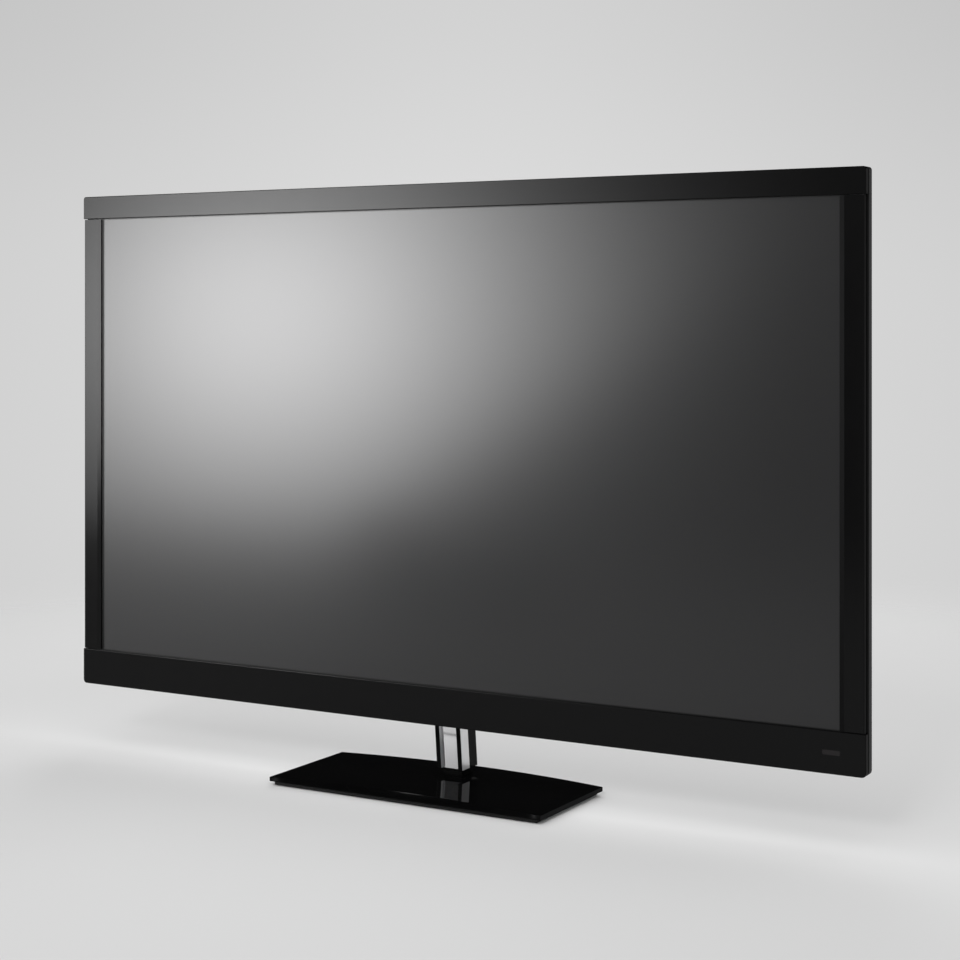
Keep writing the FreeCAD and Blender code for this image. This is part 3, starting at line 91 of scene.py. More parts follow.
class Value:
    """A number socket that takes Python's operators and adds a Math node for each."""

    def __init__(self, sheet, socket):
        self.sheet = sheet
        self.socket = socket

    def math(self, operation, *values):
        """A Math node on these values."""
        made = self.sheet.node("ShaderNodeMath", {"operation": operation}, dict(enumerate(values)))
        return Value(self.sheet, made.outputs[0])

    def __add__(self, other):
        return self.math("ADD", self, other)

    def __radd__(self, other):
        return self.math("ADD", other, self)

    def __sub__(self, other):
        return self.math("SUBTRACT", self, other)

    def __rsub__(self, other):
        return self.math("SUBTRACT", other, self)

    def __mul__(self, other):
        return self.math("MULTIPLY", self, other)

    def __rmul__(self, other):
        return self.math("MULTIPLY", other, self)

    def __truediv__(self, other):
        return self.math("DIVIDE", self, other)

    def __abs__(self):
        return self.math("ABSOLUTE", self)

    def exp(self):
        return self.math("EXPONENT", self)

    def root(self):
        return self.math("SQRT", self)

    def larger(self, other):
        return self.math("MAXIMUM", self, other)

    def smaller(self, other):
        return self.math("MINIMUM", self, other)

    def step(self, low, high):
        """A smooth change from 0 at low to 1 at high."""
        made = self.sheet.node("ShaderNodeMapRange", {"interpolation_type": "SMOOTHSTEP"},
                               {"Value": self, "From Min": low, "From Max": high})
        return Value(self.sheet, made.outputs["Result"])

    def stripes(self, pitch):
        """Soft-edged stripes, 1 over nearly half of each pitch."""
        turns = self / pitch
        return turns.math("FRACT", turns).step(0.5, 0.6)

    def around(self, middle, reach):
        """Spreads 0 to 1 over a reach about a middle number."""
        return middle + (self - 0.5) * reach


class Sheet:
    """The nodes of one material or of the world."""

    def __init__(self, tree):
        self.tree = tree
        tree.nodes.clear()

    def node(self, kind, settings=None, inputs=None):
        """A node with its settings, and with a value or a link in each named input."""
        made = self.tree.nodes.new(kind)
        for name, value in (settings or {}).items():
            setattr(made, name, value)
        for key, value in (inputs or {}).items():
            value = value.socket if isinstance(value, Value) else value
            if isinstance(value, bpy.types.NodeSocket):
                self.tree.links.new(value, made.inputs[key])
            else:
                made.inputs[key].default_value = value
        return made

    def place(self, scale=(1.0, 1.0, 1.0)):
        """The Object coordinates, stretched."""
        where = self.node("ShaderNodeTexCoord").outputs["Object"]
        return self.node("ShaderNodeMapping", None, {"Vector": where, "Scale": scale}).outputs[0]

    def facing(self):
        """The direction that the surface looks in."""
        return self.node("ShaderNodeNewGeometry").outputs["Normal"]

    def axes(self, vector):
        """The x, y and z of a vector."""
        split = self.node("ShaderNodeSeparateXYZ", None, {0: vector})
        return [Value(self, split.outputs[i]) for i in range(3)]

    def noise(self, scale, stretch=(1.0, 1.0, 1.0), detail=2.0):
        """Noise from 0 to 1 over the piece."""
        made = self.node("ShaderNodeTexNoise", None, {"Vector": self.place(stretch),
                                                      "Scale": scale, "Detail": detail})
        return Value(self, made.outputs["Fac"])

    def bump(self, height, strength, distance):
        """A relief for the Normal input."""
        made = self.node("ShaderNodeBump", None, {"Height": height, "Strength": strength,
                                                  "Distance": distance})
        return made.outputs[0]

    def blend(self, mask, low, high):
        """A colour that goes from low to high with a mask."""
        made = self.node("ShaderNodeMix", {"data_type": "RGBA"}, {0: mask, 6: low, 7: high})
        return made.outputs[2]

    def shader(self, colour, roughness, **more):
        """A Principled shader, of a colour or a colour's socket."""
        if not isinstance(colour, bpy.types.NodeSocket):
            colour = (*colour, 1.0)
        inputs = {"Base Color": colour, "Roughness": roughness}
        inputs.update({key.replace("_", " "): value for key, value in more.items()})
        return self.node("ShaderNodeBsdfPrincipled", None, inputs).outputs[0]

    def mix(self, mask, first, second):
        """The first shader where the mask is 0 and the second where it is 1."""
        made = self.node("ShaderNodeMixShader", None, {0: mask, 1: first, 2: second})
        return made.outputs[0]

    def surface(self, shader):
        """Ends the material in this shader."""
        self.node("ShaderNodeOutputMaterial", None, {"Surface": shader})


def new_finish(name):
    """An empty material and its sheet of nodes."""
    material = bpy.data.materials.new(name)
    material.use_nodes = True
    return material, Sheet(material.node_tree)


def finish(name, colour, roughness, grain=0.02, wear=0.05, depth=0.0,
           stretch=(1.0, 1.0, 1.0), **more):
    """A finish whose tone drifts slowly, with grain in its roughness and, with a depth, its relief."""
    material, sheet = new_finish(name)
    fine = sheet.noise(1.0 / grain, stretch, detail=3.0)
    darker = [part * (1 - TONE_DRIFT) for part in colour]
    paler = [min(part * (1 + TONE_DRIFT), 1.0) for part in colour]
    tone = sheet.blend(sheet.noise(SLOW_NOISE), (*darker, 1.0), (*paler, 1.0))
    if depth:
        more["Normal"] = sheet.bump(fine, strength=0.6, distance=depth)
    sheet.surface(sheet.shader(tone, fine.around(roughness, wear), **more))
    return material


def dress(material, *slots):
    """Gives a finish to every CAD node of these material slots."""
    for name, node in frame["nodes"].items():
        if slot_of[name] in slots:
            for place in node.material_slots:
                place.link = "OBJECT"
                place.material = material


def new_piece(name, mesh, material=None):
    """An object at the origin, in the scene."""
    piece = bpy.data.objects.new(name, mesh)
    bpy.context.scene.collection.objects.link(piece)
    if material:
        piece.data.materials.append(material)
    return piece


def flat_piece(name, corners, material):
    """A flat piece with four corners."""
    mesh = bpy.data.meshes.new(name)
    mesh.from_pydata(corners, [], [(0, 1, 2, 3)])
    return new_piece(name, mesh, material)


def solid_boxes(node):
    """The lowest and highest corner of each separate solid in a CAD node."""
    mesh = bmesh.new()
    mesh.from_mesh(frame["nodes"][node].data)
    bmesh.ops.remove_doubles(mesh, verts=mesh.verts, dist=1e-6)
    left = set(mesh.verts)
    boxes = []
    while left:
        group = set()
        edge = [left.pop()]
        while edge:
            vert = edge.pop()
            group.add(vert)
            near = {link.other_vert(vert) for link in vert.link_edges} & left
            left -= near
            edge.extend(near)
        corners = list(zip(*[vert.co for vert in group]))
        boxes.append((Vector([min(c) for c in corners]), Vector([max(c) for c in corners])))
    mesh.free()
    return sorted(boxes, key=lambda box: tuple(round(c, 4) for c in box[0]))


def spaced(count, pitch):
    """Evenly spaced distances about zero."""
    return [(i - (count - 1) / 2) * pitch for i in range(count)]


# Geometry node helpers

class Recipe:
    """A geometry node tree that is built in the script, with named inputs."""

    def __init__(self, name):
        self.tree = bpy.data.node_groups.new(name, "GeometryNodeTree")
        for way in ("OUTPUT", "INPUT"):
            self.tree.interface.new_socket("Geometry", in_out=way,
                                           socket_type="NodeSocketGeometry")
        self.ids = {}
        self.start = self.tree.nodes.new("NodeGroupInput")

    def size(self, name, default, kind="NodeSocketFloat"):
        """A named input and its socket inside the tree."""
        made = self.tree.interface.new_socket(name, in_out="INPUT", socket_type=kind)
        made.default_value = default
        self.ids[name] = made.identifier
        return self.start.outputs[name]

    def node(self, kind, settings=None, inputs=None):
        """A node with its settings, and with a value or a link in each named input."""
        made = self.tree.nodes.new(kind)
        for name, value in (settings or {}).items():
            setattr(made, name, value)
        for key, value in (inputs or {}).items():
            if isinstance(value, bpy.types.NodeSocket):
                self.tree.links.new(value, made.inputs[key])
            else:
                made.inputs[key].default_value = value
        return made

    def moved(self, shape, height):
        """A mesh node's shape, lifted by the number in a socket."""
        lift = self.node("ShaderNodeCombineXYZ", None, {"Z": height})
        made = self.node("GeometryNodeTransform", None, {
            "Geometry": shape.outputs["Mesh"], "Translation": lift.outputs[0]})
        return made.outputs[0]

    def joined(self, *shapes):
        """Several shapes as one."""
        made = self.node("GeometryNodeJoinGeometry")
        for shape in shapes:
            self.tree.links.new(shape, made.inputs[0])
        return made.outputs[0]

    def finish(self, shape, material, turn=(0.0, 0.0, 0.0)):
        """Ends the tree in one copy of the shape on each point, in its material."""
        placed = self.node("GeometryNodeInstanceOnPoints", None, {
            "Points": self.start.outputs["Geometry"], "Instance": shape, "Rotation": turn})
        real = self.node("GeometryNodeRealizeInstances", None, {0: placed.outputs[0]})
        coloured = self.node("GeometryNodeSetMaterial", None, {"Geometry": real.outputs[0],
                                                               "Material": material})
        self.node("NodeGroupOutput", None, {0: coloured.outputs[0]})

    def make(self, name, points, **sizes):
        """Runs the tree on a cloud of points and returns a plain mesh piece."""
        cloud = bpy.data.meshes.new(name)
        cloud.from_pydata([tuple(point) for point in points], [], [])
        piece = new_piece(name, cloud)
        modifier = piece.modifiers.new(self.tree.name, "NODES")
        modifier.node_group = self.tree
        for key, value in sizes.items():
            modifier[self.ids[key.replace("_", " ")]] = value
        graph = bpy.context.evaluated_depsgraph_get()
        mesh = bpy.data.meshes.new_from_object(piece.evaluated_get(graph))
        piece.modifiers.clear()
        piece.data = mesh
        return piece


# What a user would change

class FrameSettings(bpy.types.PropertyGroup):
    """The front frame and the infrared window."""

    colour: bpy.props.FloatVectorProperty(
        name="Frame Colour", description="Colour of the gloss frame", subtype="COLOR",
        default=(0.004, 0.004, 0.0041), min=0.0, max=1.0)
    roughness: bpy.props.FloatProperty(
        name="Frame Roughness", description="How far the frame blurs a reflection",
        default=0.14, min=0.0, max=1.0)
    shine: bpy.props.FloatProperty(
        name="Frame Shine", description="Specular level of the frame", default=0.1,
        min=0.0, max=1.0)
    side_roughness: bpy.props.FloatProperty(
        name="Side Roughness", description="How far the frame's satin sides blur a reflection",
        default=0.38, min=0.0, max=1.0)
    side_shine: bpy.props.FloatProperty(
        name="Side Shine", description="Specular level of the frame's satin sides",
        default=0.018, min=0.0, max=1.0)
    window_colour: bpy.props.FloatVectorProperty(
        name="Window Colour", description="Colour of the infrared window", subtype="COLOR",
        default=(0.009, 0.0075, 0.008), min=0.0, max=1.0)


class ScreenSettings(bpy.types.PropertyGroup):
    """The picture area, switched off."""

    colour: bpy.props.FloatVectorProperty(
        name="Screen Colour", description="Colour of the panel when it is off",
        subtype="COLOR", default=(0.0105, 0.0105, 0.011), min=0.0, max=1.0)
    shine: bpy.props.FloatProperty(
        name="Screen Shine", description="Specular level of the screen", default=0.25,
        min=0.0, max=1.0)
    roughness: bpy.props.FloatProperty(
        name="Screen Roughness", description="How far the screen blurs a reflection",
        default=0.2, min=0.0, max=1.0)
    coat: bpy.props.FloatProperty(
        name="Screen Haze", description="Strength of the wide haze round a reflection",
        default=0.17, min=0.0, max=1.0)
    coat_roughness: bpy.props.FloatProperty(
        name="Haze Width", description="Roughness of the wide haze", default=0.5,
        min=0.0, max=1.0)
    # Painted shade: a dark band along the left of the picture and along its upper and lower edge
    # stands in for the shade in the recess between the frame and the picture.
    painted_shade_band: bpy.props.FloatProperty(
        name="Border", description="Width of the dark band at the left of the picture",
        unit="LENGTH", default=0.0052, min=0.0, max=0.02)
    painted_shade_band_colour: bpy.props.FloatVectorProperty(
        name="Border Colour", description="Colour of the dark band and of the upper and lower edge",
        subtype="COLOR", default=(0.004, 0.004, 0.004), min=0.0, max=1.0)
    painted_shade_band_shine: bpy.props.FloatProperty(
        name="Border Shine", description="Specular level of the dark band", default=0.07,
        min=0.0, max=1.0)
    painted_shade_band_roughness: bpy.props.FloatProperty(
        name="Border Roughness", description="How far the dark band blurs a reflection",
        default=0.3, min=0.0, max=1.0)


class CoverSettings(bpy.types.PropertyGroup):
    """The moulded back with its trays and grilles, the keys and the screws."""

    colour: bpy.props.FloatVectorProperty(
        name="Cover Colour", description="Colour of the moulded back", subtype="COLOR",
        default=(0.017, 0.017, 0.0175), min=0.0, max=1.0)
    grain: bpy.props.FloatProperty(
        name="Grain Size", description="Size of the moulded grain", unit="LENGTH",
        default=0.0012, min=0.0001, max=0.02)
    key_colour: bpy.props.FloatVectorProperty(
        name="Key Colour", description="Colour of the keys", subtype="COLOR",
        default=(0.03, 0.03, 0.031), min=0.0, max=1.0)
    recess: bpy.props.FloatProperty(
        name="Screw Recess", description="Width of the cross in a screw head",
        unit="LENGTH", default=0.001, min=0.0002, max=0.003)


class StandSettings(bpy.types.PropertyGroup):
    """The neck and the base."""

    core_colour: bpy.props.FloatVectorProperty(
        name="Core Colour", description="Colour of the neck's metal core", subtype="COLOR",
        default=(0.8, 0.8, 0.81), min=0.0, max=1.0)
    core_roughness: bpy.props.FloatProperty(
        name="Core Roughness", description="How far the core blurs a reflection",
        default=0.08, min=0.0, max=1.0)
    # The fins are clear: the silver film on their sides is a painted reflection of the core seen
    # through them, and their edges are painted dark where the clear fins look dark.
    painted_reflection_colour: bpy.props.FloatVectorProperty(
        name="Film Colour", description="Colour of the silver film on the fins' sides",
        subtype="COLOR", default=(0.9, 0.9, 0.91), min=0.0, max=1.0)
    painted_shade_edge_colour: bpy.props.FloatVectorProperty(
        name="Fin Edge Colour", description="Colour of the fins' dark edges", subtype="COLOR",
        default=(0.002, 0.002, 0.002), min=0.0, max=1.0)
    shroud_colour: bpy.props.FloatVectorProperty(
        name="Shroud Colour", description="Colour of the shroud and of the brackets",
        subtype="COLOR", default=(0.002, 0.002, 0.002), min=0.0, max=1.0)
    base_colour: bpy.props.FloatVectorProperty(
        name="Base Colour", description="Colour of the gloss base", subtype="COLOR",
        default=(0.0025, 0.0025, 0.0026), min=0.0, max=1.0)


class StudioSettings(bpy.types.PropertyGroup):
    """The floor, the lights and the camera."""

    floor_colour: bpy.props.FloatVectorProperty(
        name="Floor Colour", description="Colour of the floor", subtype="COLOR",
        default=(0.8, 0.8, 0.8), min=0.0, max=1.0)
    # Painted shade: the floor's colour away from the object, as a share of its colour near it.
    painted_falloff_tone: bpy.props.FloatProperty(
        name="Floor Edge Tone", description="How bright the floor stays away from the object",
        default=0.82, min=0.0, max=1.0)
    haze: bpy.props.FloatProperty(
        name="Background", description="Brightness of the pale background", default=0.725,
        min=0.0, max=1.0)
    side_light: bpy.props.FloatProperty(
        name="Side Light", description="Peak radiance of the soft light at the front left",
        default=33.5, min=0.0, max=100.0)
    top_light: bpy.props.FloatProperty(
        name="Top Light", description="Power of the soft light above", subtype="POWER",
        default=10.0, min=0.0, max=1000.0)
    front_light: bpy.props.FloatProperty(
        name="Front Light", description="Power of the soft fill in front", subtype="POWER",
        default=6.0, min=0.0, max=1000.0)
    dome: bpy.props.FloatProperty(
        name="Fill", description="Brightness of the even light that only matt surfaces show",
        default=0.84, min=0.0, max=10.0)
    back_light: bpy.props.FloatProperty(
        name="Back Light", description="Power of the soft light behind", subtype="POWER",
        default=22.0, min=0.0, max=1000.0)
    lens_pixels: bpy.props.FloatProperty(
        name="Focal Length", description="Focal length in picture elements", default=1946.8,
        min=100.0, max=10000.0)


# Operators

class TV_OT_front_frame(bpy.types.Operator):
    """Gives the frame a dark gloss with satin lips and sides, and the window a smoked one"""

    bl_idname = "television.front_frame"
    bl_label = "Dress Front Frame"

    def execute(self, context):
        look = context.scene.television_frame
        material, sheet = new_finish("frame_gloss")
        to_right = sheet.axes(sheet.facing())[0]
        right_side = to_right.step(0.4, 0.6)
        left_lip = (to_right * -1).step(0.1, 0.17)
        haze = sheet.noise(scale=60.0, detail=4.0)
        ripple = sheet.noise(scale=220.0, detail=1.0)
        relief = sheet.bump(ripple, strength=0.1, distance=0.00001)
        gloss, satin = [
            sheet.shader(look.colour, haze.around(roughness, reach=0.05),
                         Specular_IOR_Level=shine, Normal=relief)
            for roughness, shine in ((look.roughness, look.shine),
                                     (look.side_roughness, look.side_shine))]
        sheet.surface(sheet.mix(right_side.larger(left_lip), gloss, satin))
        dress(material, "frame_gloss")
        dress(finish("infrared_window", look.window_colour, 0.12, Specular_IOR_Level=0.25),
              "lens_smoke")
        return {"FINISHED"}


class TV_OT_screen(bpy.types.Operator):
    """Makes the satin screen, with fine anti-glare grain and a band of painted shade at its left, top
    and bottom edges
    """

    bl_idname = "television.screen"
    bl_label = "Dress Screen"

    def execute(self, context):
        look = context.scene.television_screen
        material, sheet = new_finish("screen_satin")
        half_x = (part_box("right_pillar")[0].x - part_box("left_pillar")[1].x) / 2
        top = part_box("top_bar")[0].z
        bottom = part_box("bottom_bar")[1].z
        middle_z = (top + bottom) / 2
        half_z = (top - bottom) / 2
        x, _, z = sheet.axes(sheet.place())
        # Painted shade: the band at the left stands in for the shaded inner wall of the left pillar's
        # recess, and the narrower band at the top and bottom for the shade in the gap under the bars.
        left_shade_mask = (x * -1).step(half_x - look.painted_shade_band * 1.1, half_x - look.painted_shade_band * 0.9)
        edge = abs(z - middle_z).step(half_z - look.painted_shade_band * 0.6, half_z)
        grain = sheet.noise(scale=1400.0, detail=1.0)
        relief = sheet.bump(grain, strength=0.25, distance=0.00002)
        picture = sheet.shader(look.colour, grain.around(look.roughness, reach=0.04),
                               Specular_IOR_Level=look.shine, Normal=relief,
                               Coat_Weight=look.coat, Coat_Roughness=look.coat_roughness)
        # The painted shade band: a darker, less shiny copy of the screen.
        painted_shade_band = sheet.shader(look.painted_shade_band_colour, grain.around(look.painted_shade_band_roughness, reach=0.04),
                              Specular_IOR_Level=look.painted_shade_band_shine, Normal=relief)
        sheet.surface(sheet.mix(left_shade_mask.larger(edge), picture, painted_shade_band))
        dress(material, "panel_glass")
        return {"FINISHED"}


class TV_OT_rear_cover(bpy.types.Operator):
    """Gives the moulded back, its grilles and trays a fine grain, and the keys a soft gloss"""

    bl_idname = "television.rear_cover"
    bl_label = "Dress Rear Cover"

    def execute(self, context):
        look = context.scene.television_cover
        dress(finish("cover_grain", look.colour, 0.42, grain=look.grain, depth=0.00012,
                     Specular_IOR_Level=0.055), "cover_plastic", "carrier_plastic")
        dress(finish("key_plastic", look.key_colour, 0.3, grain=0.0006, depth=0.00003),
              "key_plastic")
        return {"FINISHED"}


class TV_OT_cover_screws(bpy.types.Operator):
    """Makes the cover screws with cross recesses in place of the plain ones"""

    bl_idname = "television.cover_screws"
    bl_label = "Make Cover Screws"

    def recipe(self, steel):
        """A round head with a cross cut into its top and a plain shank, turned to the rear."""
        recipe = Recipe("screw_heads")
        head_radius = recipe.size("Head Radius", 0.004)
        head_height = recipe.size("Head Height", HEAD_HEIGHT)
        cross_width = recipe.size("Recess Width", 0.001)
        cross_length = recipe.size("Recess Length", 0.0044)
        cross_depth = recipe.size("Recess Depth", 0.0024)
        shank_radius = recipe.size("Shank Radius", 0.002)
        shank_length = recipe.size("Shank Length", 0.011)
        head = recipe.node("GeometryNodeMeshCylinder", {"fill_type": "NGON"},
                           {"Vertices": 28, "Radius": head_radius, "Depth": head_height})
        top = recipe.node("ShaderNodeMath", {"operation": "MULTIPLY"}, {0: head_height, 1: 0.5})
        arms = []
        for along_x, along_y in ((cross_length, cross_width), (cross_width, cross_length)):
            extent = recipe.node("ShaderNodeCombineXYZ", None,
                                 {"X": along_x, "Y": along_y, "Z": cross_depth})
            arm = recipe.node("GeometryNodeMeshCube", None, {"Size": extent.outputs[0]})
            arms.append(recipe.moved(arm, top.outputs[0]))
        carved = recipe.node("GeometryNodeMeshBoolean", {"operation": "DIFFERENCE"},
                             {0: head.outputs["Mesh"], 1: recipe.joined(*arms)})
        shank = recipe.node("GeometryNodeMeshCylinder", {"fill_type": "NGON"},
                            {"Vertices": 16, "Radius": shank_radius, "Depth": shank_length})
        down = recipe.node("ShaderNodeMath", {"operation": "MULTIPLY_ADD"},
                           {0: shank_length, 1: -0.5, 2: -HEAD_HEIGHT / 2})
        screw = recipe.joined(carved.outputs["Mesh"], recipe.moved(shank, down.outputs[0]))
        recipe.finish(screw, steel, (-math.pi / 2, 0.0, 0.0))
        return recipe

    def execute(self, context):
        steel = finish("screw_steel", (0.12, 0.12, 0.125), 0.35, grain=0.0012, wear=0.12,
                       Metallic=1.0)
        dress(steel, "screw_steel")
        boxes = solid_boxes("cover_screws")
        low, high = boxes[0]
        heads = [((a.x + b.x) / 2, b.y - HEAD_HEIGHT / 2, (a.z + b.z) / 2) for a, b in boxes]
        piece = self.recipe(steel).make(
            "cover_screw_set", heads, Head_Radius=(high.x - low.x) / 2, Head_Height=HEAD_HEIGHT,
            Recess_Width=context.scene.television_cover.recess,
            Shank_Length=high.y - low.y - HEAD_HEIGHT)
        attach(piece, "display")
        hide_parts("cover_screws")
        return {"FINISHED"}


class TV_OT_socket_contacts(bpy.types.Operator):
    """Adds the gilt contacts in the network, video and USB sockets"""

    bl_idname = "television.socket_contacts"
    bl_label = "Make Socket Contacts"

    def recipe(self, gilt):
        """A square wire bent through three points."""
        recipe = Recipe("contact_row")
        start = recipe.size("Start", (0.0, 0.0, 0.004), "NodeSocketVector")
        middle = recipe.size("Middle", (0.0, 0.001, 0.0), "NodeSocketVector")
        end = recipe.size("End", (0.0, 0.0, -0.004), "NodeSocketVector")
        width = recipe.size("Wire Width", 0.0004)
        bend = recipe.node("GeometryNodeCurveQuadraticBezier", None, {
            "Resolution": 8, "Start": start, "Middle": middle, "End": end})
        section = recipe.node("GeometryNodeCurvePrimitiveQuadrilateral", None, {
            "Width": width, "Height": width})
        spring = recipe.node("GeometryNodeCurveToMesh", None, {
            "Curve": bend.outputs[0], "Profile Curve": section.outputs[0], "Fill Caps": True})
        recipe.finish(spring.outputs["Mesh"], gilt)
        return recipe

    def network_points(self):
        """Eight contacts side by side in the network socket."""
        inset = 0.0026
        rise = 0.007
        low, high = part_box("lan_socket")
        middle_x = (low.x + high.x) / 2
        return [(middle_x + across, high.y - inset, low.z + rise)
                for across in spaced(8, pitch=0.00102)]

    def plug_points(self):
        """Four contacts on the tongue of a wide USB socket, and nine on that of a video socket."""
        least_usb_width = 0.0065
        depth = 0.0055
        points = []
        for low, high in solid_boxes("side_sockets"):
            middle = (low + high) / 2
            if high.y - low.y > least_usb_width:
                row, rise = spaced(4, pitch=0.0024), 0.00095
            else:
                row, rise = spaced(9, pitch=0.001), 0.00055
            points += [(low.x + depth, middle.y + rise, middle.z + along) for along in row]
        return points

    def execute(self, context):
        dress(finish("socket_shell", (0.55, 0.55, 0.56), 0.3, grain=0.0016, wear=0.1,
                     Metallic=1.0), "socket_metal")
        dress(finish("socket_plastic", (0.03, 0.03, 0.03), 0.45, grain=0.0005, depth=0.00002),
              "socket_plastic")
        recipe = self.recipe(finish("contact_gilt", (0.83, 0.6, 0.25), 0.25, grain=0.001,
                                    wear=0.1, Metallic=1.0))
        piece = recipe.make("network_contacts", self.network_points(), Start=(0.0, 0.0, 0.0045),
                            Middle=(0.0, -0.0016, 0.0), End=(0.0, 0.0004, -0.0045),
                            Wire_Width=0.0005)
        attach(piece, "display")
        piece = recipe.make("plug_contacts", self.plug_points(), Start=(-0.0035, 0.0, 0.0),
                            Middle=(0.001, 0.0004, 0.0), End=(0.0035, -0.0001, 0.0),
                            Wire_Width=0.00028)
        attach(piece, "display")
        return {"FINISHED"}


class TV_OT_inside(bpy.types.Operator):
    """Gives the parts inside the television their finishes"""

    bl_idname = "television.inside"
    bl_label = "Dress Inside"

    def circuit(self):
        """Green lacquer over paler tracks, which run level and upright in turn."""
        material, sheet = new_finish("circuit_lacquer")
        pitch = 0.002
        patch = sheet.noise(scale=38.0, detail=0.0).step(0.47, 0.5)
        x, _, z = sheet.axes(sheet.place())
        tracks = z.stripes(pitch) * patch + x.stripes(pitch) * (1 - patch)
        colour = sheet.blend(tracks, (0.008, 0.075, 0.03, 1.0), (0.02, 0.16, 0.06, 1.0))
        sheet.surface(sheet.shader(colour, 0.36 - tracks * 0.08,
                                   Normal=sheet.bump(tracks, strength=0.5, distance=0.00004)))
        return material

    def ribbon(self):
        """White film with a grey conductor in each half millimetre of its width."""
        material, sheet = new_finish("ribbon_film")
        lines = sheet.axes(sheet.place())[0].stripes(pitch=0.0005)
        colour = sheet.blend(lines, (0.78, 0.78, 0.76, 1.0), (0.45, 0.45, 0.46, 1.0))
        sheet.surface(sheet.shader(colour, 0.45 - lines * 0.1))
        return material

    def execute(self, context):
        dress(finish("zinc_sheet", (0.55, 0.56, 0.57), 0.4, grain=1.0, wear=0.12,
                     stretch=(40.0, 40.0, 900.0), Metallic=1.0), "zinc_steel")
        dress(finish("extruded_metal", (0.72, 0.72, 0.73), 0.35, grain=1.0, wear=0.1,
                     stretch=(8.0, 900.0, 900.0), Metallic=1.0), "spreader_metal")
        dress(self.circuit(), "circuit_green")
        dress(self.ribbon(), "ribbon_film")
        dress(finish("sheet_film", (0.8, 0.8, 0.8), 0.5, grain=0.001, depth=0.00001),
              "sheet_film", "lamp_board")
        dress(finish("guide_acrylic", (0.85, 0.88, 0.9), 0.1, Transmission_Weight=0.6),
              "guide_acrylic")
        dress(finish("foam", (0.02, 0.02, 0.02), 0.9, grain=0.0008, depth=0.0003), "gasket_foam")
        dress(finish("driver_cone", (0.03, 0.03, 0.03), 0.6, grain=0.0007, depth=0.0001),
              "driver_paper")
        return {"FINISHED"}


class TV_OT_neck(bpy.types.Operator):
    """Finishes the metal core, the fins with their painted reflection and dark edges, the shroud and
    the swivel
    """

    bl_idname = "television.neck"
    bl_label = "Dress Neck"

    def fin(self, look):
        """A silver film on the sides of a fin that mirrors the core, a painted reflection standing in
        for the core seen through the clear fin, and dark gloss on its front and rear edges, painted
        dark where the clear fin looks dark.
        """
        material, sheet = new_finish("fin_painted_light")
        # Painted reflection on the sides and painted dark edges, split by which way a face looks.
        sideways = abs(sheet.axes(sheet.facing())[0])
        lines = sheet.noise(scale=1.0, stretch=UPRIGHT_LINES)
        edge = sheet.shader(look.painted_shade_edge_colour, 0.16 + lines * 0.04, Specular_IOR_Level=0.04)
        film = sheet.shader(look.painted_reflection_colour, 0.18 + lines * 0.08, Metallic=0.6)
        sheet.surface(sheet.mix(sideways.step(0.6, 0.9), edge, film))
        return material

    def execute(self, context):
        look = context.scene.television_stand
        dress(finish("core_satin", look.core_colour, look.core_roughness, grain=1.0, wear=0.02,
                     stretch=UPRIGHT_LINES, Metallic=1.0), "core_metal")
        dress(self.fin(look), "fin_clear")
        dress(finish("shroud_gloss", look.shroud_colour, 0.16, Specular_IOR_Level=0.04),
              "shroud_plastic")
        dress(finish("powder_coat", look.shroud_colour, 0.5, grain=0.0008, depth=0.00003,
                     Specular_IOR_Level=0.02), "bracket_steel")
        dress(finish("acetal", (0.6, 0.58, 0.54), 0.35, grain=0.003), "bush_plastic")
        return {"FINISHED"}


class TV_OT_base(bpy.types.Operator):
    """Finishes the gloss base plate, the steel plate under it and the rubber feet"""

    bl_idname = "television.base"
    bl_label = "Dress Base"

    def execute(self, context):
        look = context.scene.television_stand
        material, sheet = new_finish("base_gloss")
        upward = sheet.axes(sheet.facing())[2]
        haze = sheet.noise(scale=45.0, detail=4.0) * 0.02
        edge = sheet.shader(look.base_colour, 0.3 + haze, Specular_IOR_Level=0.02)
        face = sheet.shader(look.base_colour, 0.03 + haze, Specular_IOR_Level=0.075)
        sheet.surface(sheet.mix(upward.step(0.85, 0.95), edge, face))
        dress(material, "base_gloss")
        dress(finish("under_paint", (0.008, 0.008, 0.008), 0.42, grain=0.0008, depth=0.00003,
                     Specular_IOR_Level=0.08), "under_steel")
        dress(finish("foot_rubber", (0.02, 0.02, 0.02), 0.8, grain=0.0006, depth=0.00005),
              "foot_rubber")
        return {"FINISHED"}


